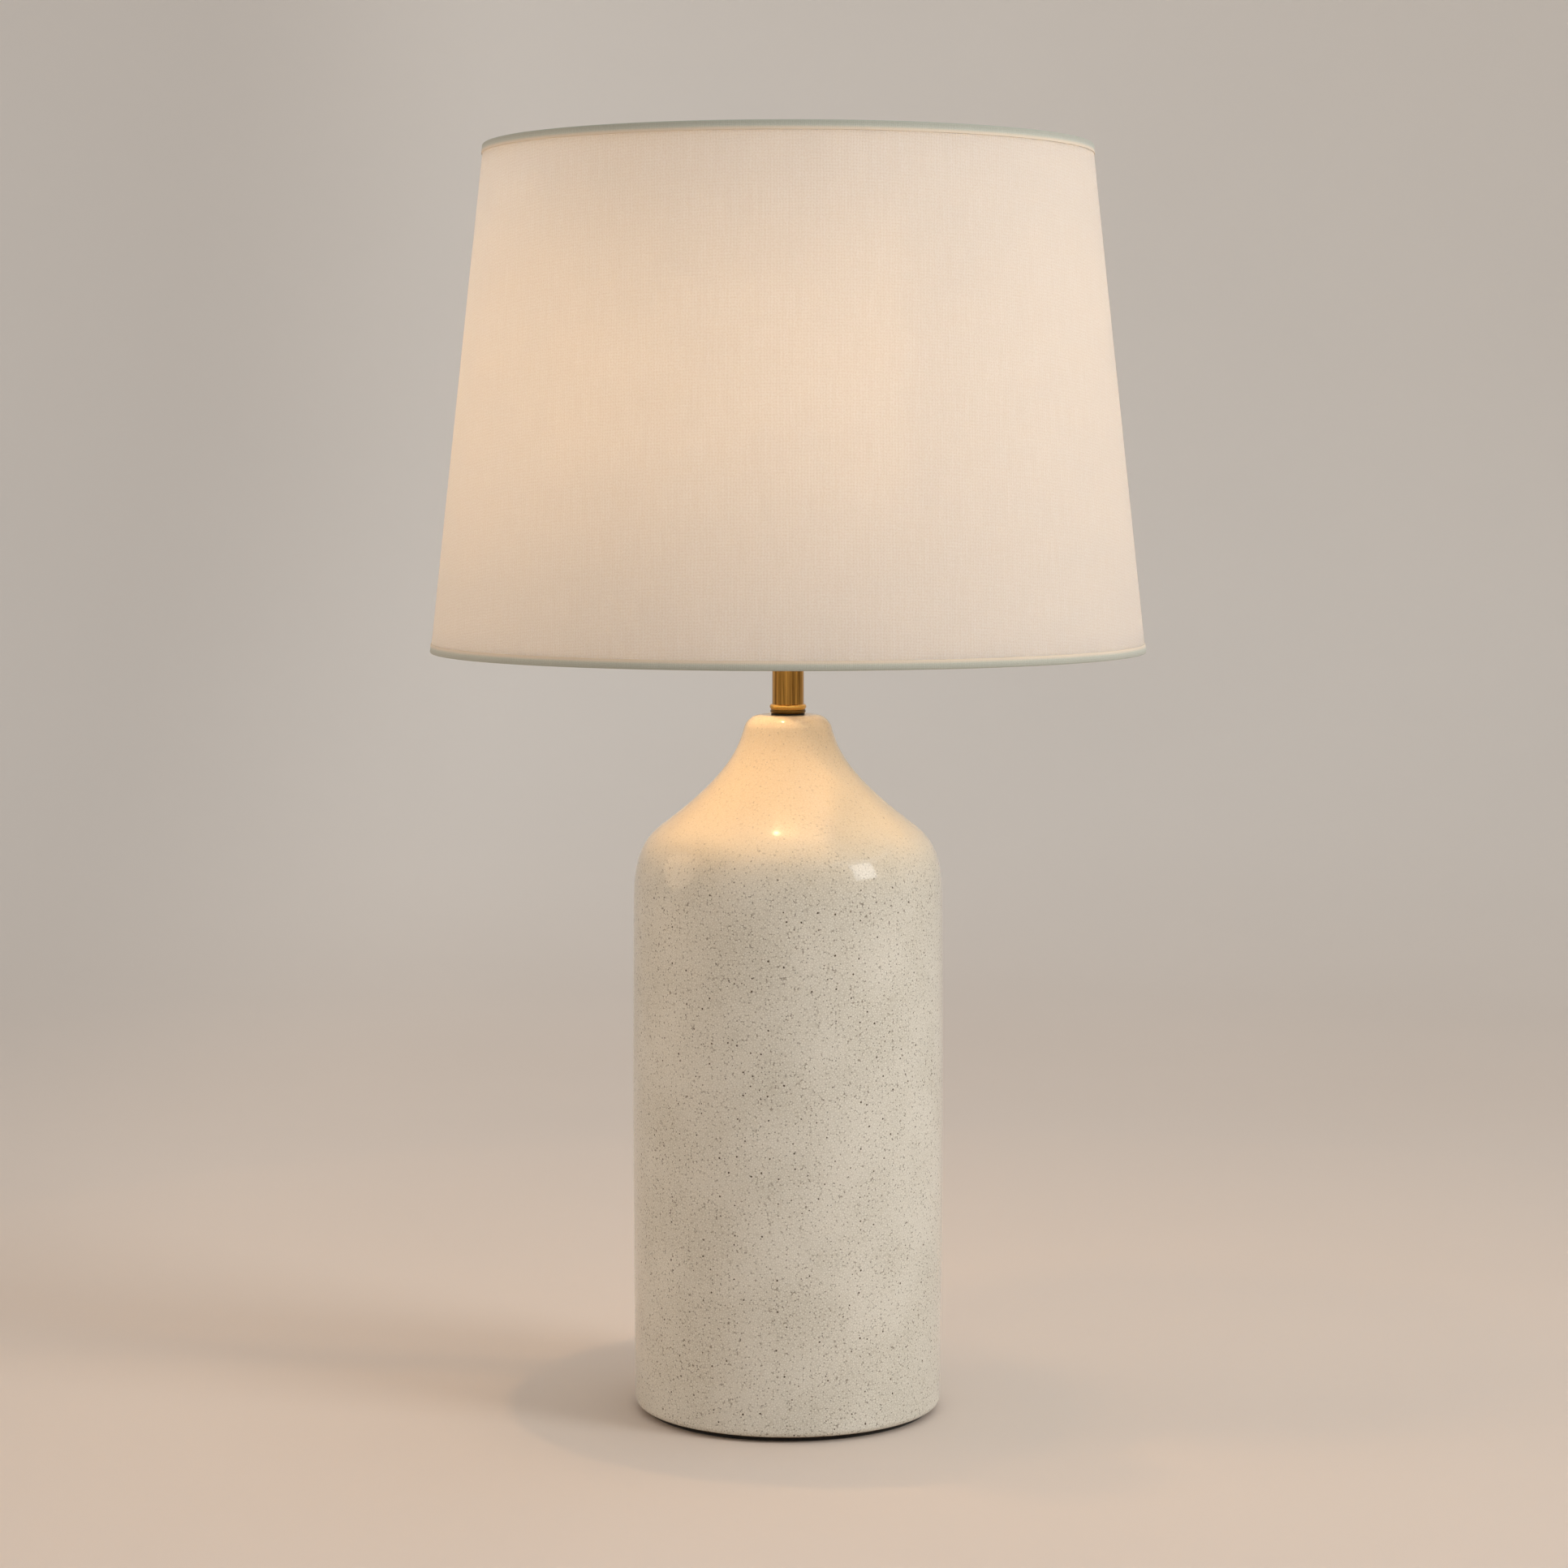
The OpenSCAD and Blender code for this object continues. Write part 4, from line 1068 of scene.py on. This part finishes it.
def switch_key():
    """A moulded paddle with grip ribs on both faces."""
    low, high = span("switch_key")
    black = moulded("black_plastic", (24, 24, 25), (44, 44, 46), 0.3, 0.35, 0.015, 0.3)
    z, root = middle("switch_key", 2), high.y
    wide, thick, hub_r, paddle = (high.x - low.x) / 2, 1.7, 4.2, 3
    hub = rounded([(1.8, 0, 0.2), (hub_r, 0, 0.4), (hub_r, 6.4, 0.8), (3.2, 8, 0.8), (1.8, 8, 0.2)], 0.4, 5)
    parts = [turned("key_hub", hub, 64, lay=laid((0, root, z), 90), crisp=False)]
    far = high.y - low.y - paddle
    rim = arc((0, far - wide), wide, 0, 180, 28) + [(-hub_r, 0.5), (hub_r, 0.5)]
    layers = [(-thick, 0.86), (-thick + 0.35, 0.96), (-thick + 0.9, 1.0), (thick - 0.9, 1.0),
              (thick - 0.35, 0.96), (thick, 0.86)]
    centre = Vector((0, (far - wide) / 2 + 1))
    rings = []
    for height, share in layers:
        spots = [centre + (Vector(spot) - centre) * share for spot in rim]
        rings.append([(spot.x, root - paddle - spot.y, z + height) for spot in spots])
    parts.append(skinned("key_paddle", rings, "capped", crisp=True))
    y = root - paddle - (far - wide) + 0.4
    for face in (-1, 1):
        for k in range(5):
            x, reach = (k - 2) * 2.3, 3.4 - abs(k - 2) * 0.6
            rib = [(x, y + along, z + face * (thick + rise)) for along, rise in (
                (-reach, 0), (-reach + 0.6, 0.12), (reach - 0.6, 0.12), (reach, 0))]
            parts.append(swept(f"rib_{face}_{k}", rib, 0.35, 10))
    for part in parts:
        apply_modifiers(part)
    place(joined("turn_key", parts), "switch_key", black)


def bulb_glass():
    low, high = span("bulb_envelope")
    globe_r, cap_high = high.x, span("bulb_screw_cap")[1]
    centre = high.z - globe_r
    neck_r, joint, wall = cap_high.x - 0.45, 38, 0.8
    meet = Vector((0, centre)) + globe_r * unit_step(-joint)
    glass = [(neck_r, low.z)] + bezier((neck_r, cap_high.z + 1), (neck_r + 1.6, cap_high.z + 12),
                                       meet - 14 * unit_step(90 - joint), meet, 24)
    glass += arc((0, centre), globe_r, -joint, 89.9, 56)[1:-1] + [(0, high.z)]
    inner = [(0, high.z - wall)] + inset(glass, wall)[::-1] + [(neck_r - wall, low.z)]
    bulb = place(turned("bulb_glass", glass + inner, 128, crisp=False), "bulb_envelope", frosted_material())
    bulb.visible_shadow = False


def bulb_cap(aluminium):
    low, high = span("bulb_screw_cap")
    wide, foot_r = high.x, 9.5
    side = upright(wide, low.z + 2.5, high.z - 0.6, 110)
    outline = [(foot_r, low.z)] + rounded([(foot_r, low.z), (wide - 0.2, low.z + 2.3, 1.2),
                                           (wide, high.z)], 0.5)[1:-1] + side[6:]
    outline += [(wide - 0.1, high.z), (wide - 0.4, high.z), (wide - 1.3, high.z - 2),
                (wide - 1.3, low.z + 3), (foot_r - 0.2, low.z + 0.9)]
    rolled = threaded(low.z + 2.6, high.z - 4, CAP_PITCH, 0.75, wide - 0.15)
    place(turned("bulb_thread", outline, 128, rolled, crisp=False), "bulb_screw_cap", aluminium)


def bulb_pieces(aluminium):
    bulb_glass()
    bulb_cap(aluminium)
    low, high = span("bulb_insulator")
    glassy = moulded("black_glass", (14, 14, 16), (26, 26, 30), 0.12, 0.8, 0.02, 0.5)
    outline = rounded([(0, low.z), (5.5, low.z, 0.4), (high.x, high.z, 0.05), (0, high.z)])
    place(turned("insulator_disc", outline, 96), "bulb_insulator", glassy)
    low, high = span("bulb_contact")
    tin = metal("solder", (196, 196, 192), (140, 140, 138), 0.3, 0.5, (1, 1, 1), 1.5, 0.03)
    outline = [(0, low.z), (1.2, low.z + 0.05)] + arc((2.6, low.z + 1.5), 1.45, -80, 0, 8) + [(0, high.z)]
    lumpy = lambda r, z, a: r * (1 + 0.04 * waver(a, z, 2, 1))
    place(turned("contact_button", outline, 64, lumpy, crisp=False), "bulb_contact", tin)
    finish_nodes(clear_glass_material(), "bulb_stem")
    finish_nodes(filament_material(), "bulb_filaments")
    for node in ("bulb_stem", "bulb_filaments"):
        frame["nodes"][node].visible_shadow = False


# ---- Hardware in the foot
def split_washer(zinc):
    """A ring with a gap, swept round and then squared."""
    low, high = span("lock_washer")
    mid, half = (NECK_BORE_R + high.x) / 2, (high.x - NECK_BORE_R) / 2
    wall, level, gap = (high.z - low.z) / 2, (low.z + high.z) / 2, 0.06
    angles = [lerp(gap, 2 * pi - gap, k / 96) for k in range(97)]
    ring = swept("split_washer", circle(mid, level, angles), 1.0, 8)

    def squared(offset, reach):
        """An offset from the round section's middle, taken to a section with flat sides."""
        return copysign(min(abs(offset) * 1.25, 1) ** 0.35 * reach, offset)

    for vertex in ring.data.vertices:
        out = hypot(vertex.co.x, vertex.co.y)
        across = (out - mid * MM) / MM
        if abs(across) > 1e-4:
            scale = (mid + squared(across, half)) * MM / out
            vertex.co.x *= scale
            vertex.co.y *= scale
        vertex.co.z = level * MM + squared((vertex.co.z - level * MM) / MM, wall) * MM
    place(ring, "lock_washer", zinc)


def hex_nut(zinc):
    low, high = span("base_nut")
    flats, corner, bore, angles = high.y, high.x, 4.86, around(120)

    def level(z, chamfer):
        """The hexagon at a height, its corners cut back by the chamfer."""
        ring = []
        for a in angles:
            side = (a + pi / 6) % (pi / 3) - pi / 6
            r = min(flats / cos(side - copysign(pi / 6, side)), corner - chamfer)
            ring.append((r * cos(a), r * sin(a), z))
        return ring

    rings = [level(low.z + up, chamfer) for up, chamfer in ((0, 0.6), (0.5, 0.15), (0.9, 0))]
    rings += [level(high.z - down, chamfer) for down, chamfer in ((0.9, 0), (0.5, 0.15), (0, 0.6))]
    rings += [circle(bore, z, angles) for z in (high.z, low.z)]
    place(skinned("hex_nut", rings, crisp=True), "base_nut", zinc)


def threaded_pipe(zinc):
    low, high = span("lamp_pipe")
    outer, bore = high.x, 3.2
    outline = [(bore, low.z), (outer - 0.5, low.z)]
    for start, end in ((low.z + 0.5, low.z + 24), (high.z - 12, high.z - 0.5)):
        outline += upright(outer, start, end, round((end - start) / 0.16))
    outline += [(outer - 0.5, high.z), (bore, high.z)]
    foot_end = threaded(low.z, low.z + 24.2, PIPE_PITCH, 0.4)
    top_end = threaded(high.z - 12.2, high.z, PIPE_PITCH, 0.4)
    both = lambda r, z, a: top_end(foot_end(r, z, a), z, a)
    place(turned("threaded_pipe", outline, 48, both, crisp=False), "lamp_pipe", zinc)


def cord_grommet():
    low, high = span("cord_bushing")
    bore, pipe, flange = 3.6, 5.0, (high.x - low.x) / 2
    face = FOOT_R + 0.3
    outline = rounded([(bore, low.y, 0.4), (pipe + 0.5, low.y, 0.5), (pipe, low.y + 1.5, 0.3),
                       (pipe, face, 0.1), (flange, face, 0.2), (flange, high.y, 1.3),
                       (bore, high.y, 1.0)], 0.4, 6)
    bush = turned("cord_grommet", outline, 96, lay=laid((0, 0, middle("cord_bushing", 2)), -90))
    place(bush, "cord_bushing", moulded("grommet_plastic", (24, 24, 25), (42, 42, 44), 0.35, 0.4))


def splice_caps():
    """Two twist-on connectors, ribbed and open towards the leads."""
    high = span("wire_connectors")[1]
    z, near, bore = middle("wire_connectors", 2), high.x - 20, 1.6
    ribbed = lambda r, z, a: r - 0.28 * groove(a, 16) if 2.2 < z - near < 17 and r > 3 else r
    outline = rounded([(bore, near, 0.3), (5.5, near, 0.5), (5.1, near + 4, 0.5), (3.6, high.x, 0.9),
                       (0, high.x)], 0.3)
    outline = dense(outline + [(0, near + 12), (bore, near + 12)], 2.5)
    parts = [turned(f"connector_{side}", outline, 128, ribbed, crisp=False,
                    lay=laid((0, 0, z), 90 * side, "Y")) for side in (-1, 1)]
    place(joined("splice_caps", parts), "wire_connectors",
          moulded("tan_plastic", (198, 160, 104), (170, 132, 82), 0.45, 0.4, 0.02))


def foot_hardware(zinc):
    place(turned("clamp_washer", washer("base_washer", NECK_BORE_R, 0.4), 120), "base_washer", zinc)
    split_washer(zinc)
    hex_nut(zinc)
    threaded_pipe(zinc)
    cord_grommet()
    for node, name, colour, speck in (("lead_live", "black_insulation", (22, 22, 23), (40, 40, 42)),
                                      ("lead_neutral", "white_insulation", (222, 220, 212), (198, 195, 186))):
        finish_nodes(moulded(name, colour, speck, 0.4, 0.25, 0.01), node)
    splice_caps()


# ---- Everything
def add_stage():
    bowl = [(0, 0)] + [(r, 0) for r in (300, 700, 1100)]
    bowl += arc((FLOOR_FLAT_R, SWEEP_R), SWEEP_R, -90, 0, 40)
    bowl.append((FLOOR_FLAT_R + SWEEP_R, WALL_TOP))
    sweep = turned("studio_sweep", bowl, 128, ends="open", crisp=False)
    sweep.data.materials.append(stage_material())


def build():
    add_camera()
    add_stage()
    add_lights()
    glazed_body()
    felt_pad()
    polished, antique = neck_pieces()
    shade_pieces()
    harp_bow(antique)
    harp_stud(polished)
    for side in ("left", "right"):
        harp_sleeve(side, polished)
    finial(polished)
    zinc, aluminium = socket_pieces()
    switch_key()
    bulb_pieces(aluminium)
    foot_hardware(zinc)


build()
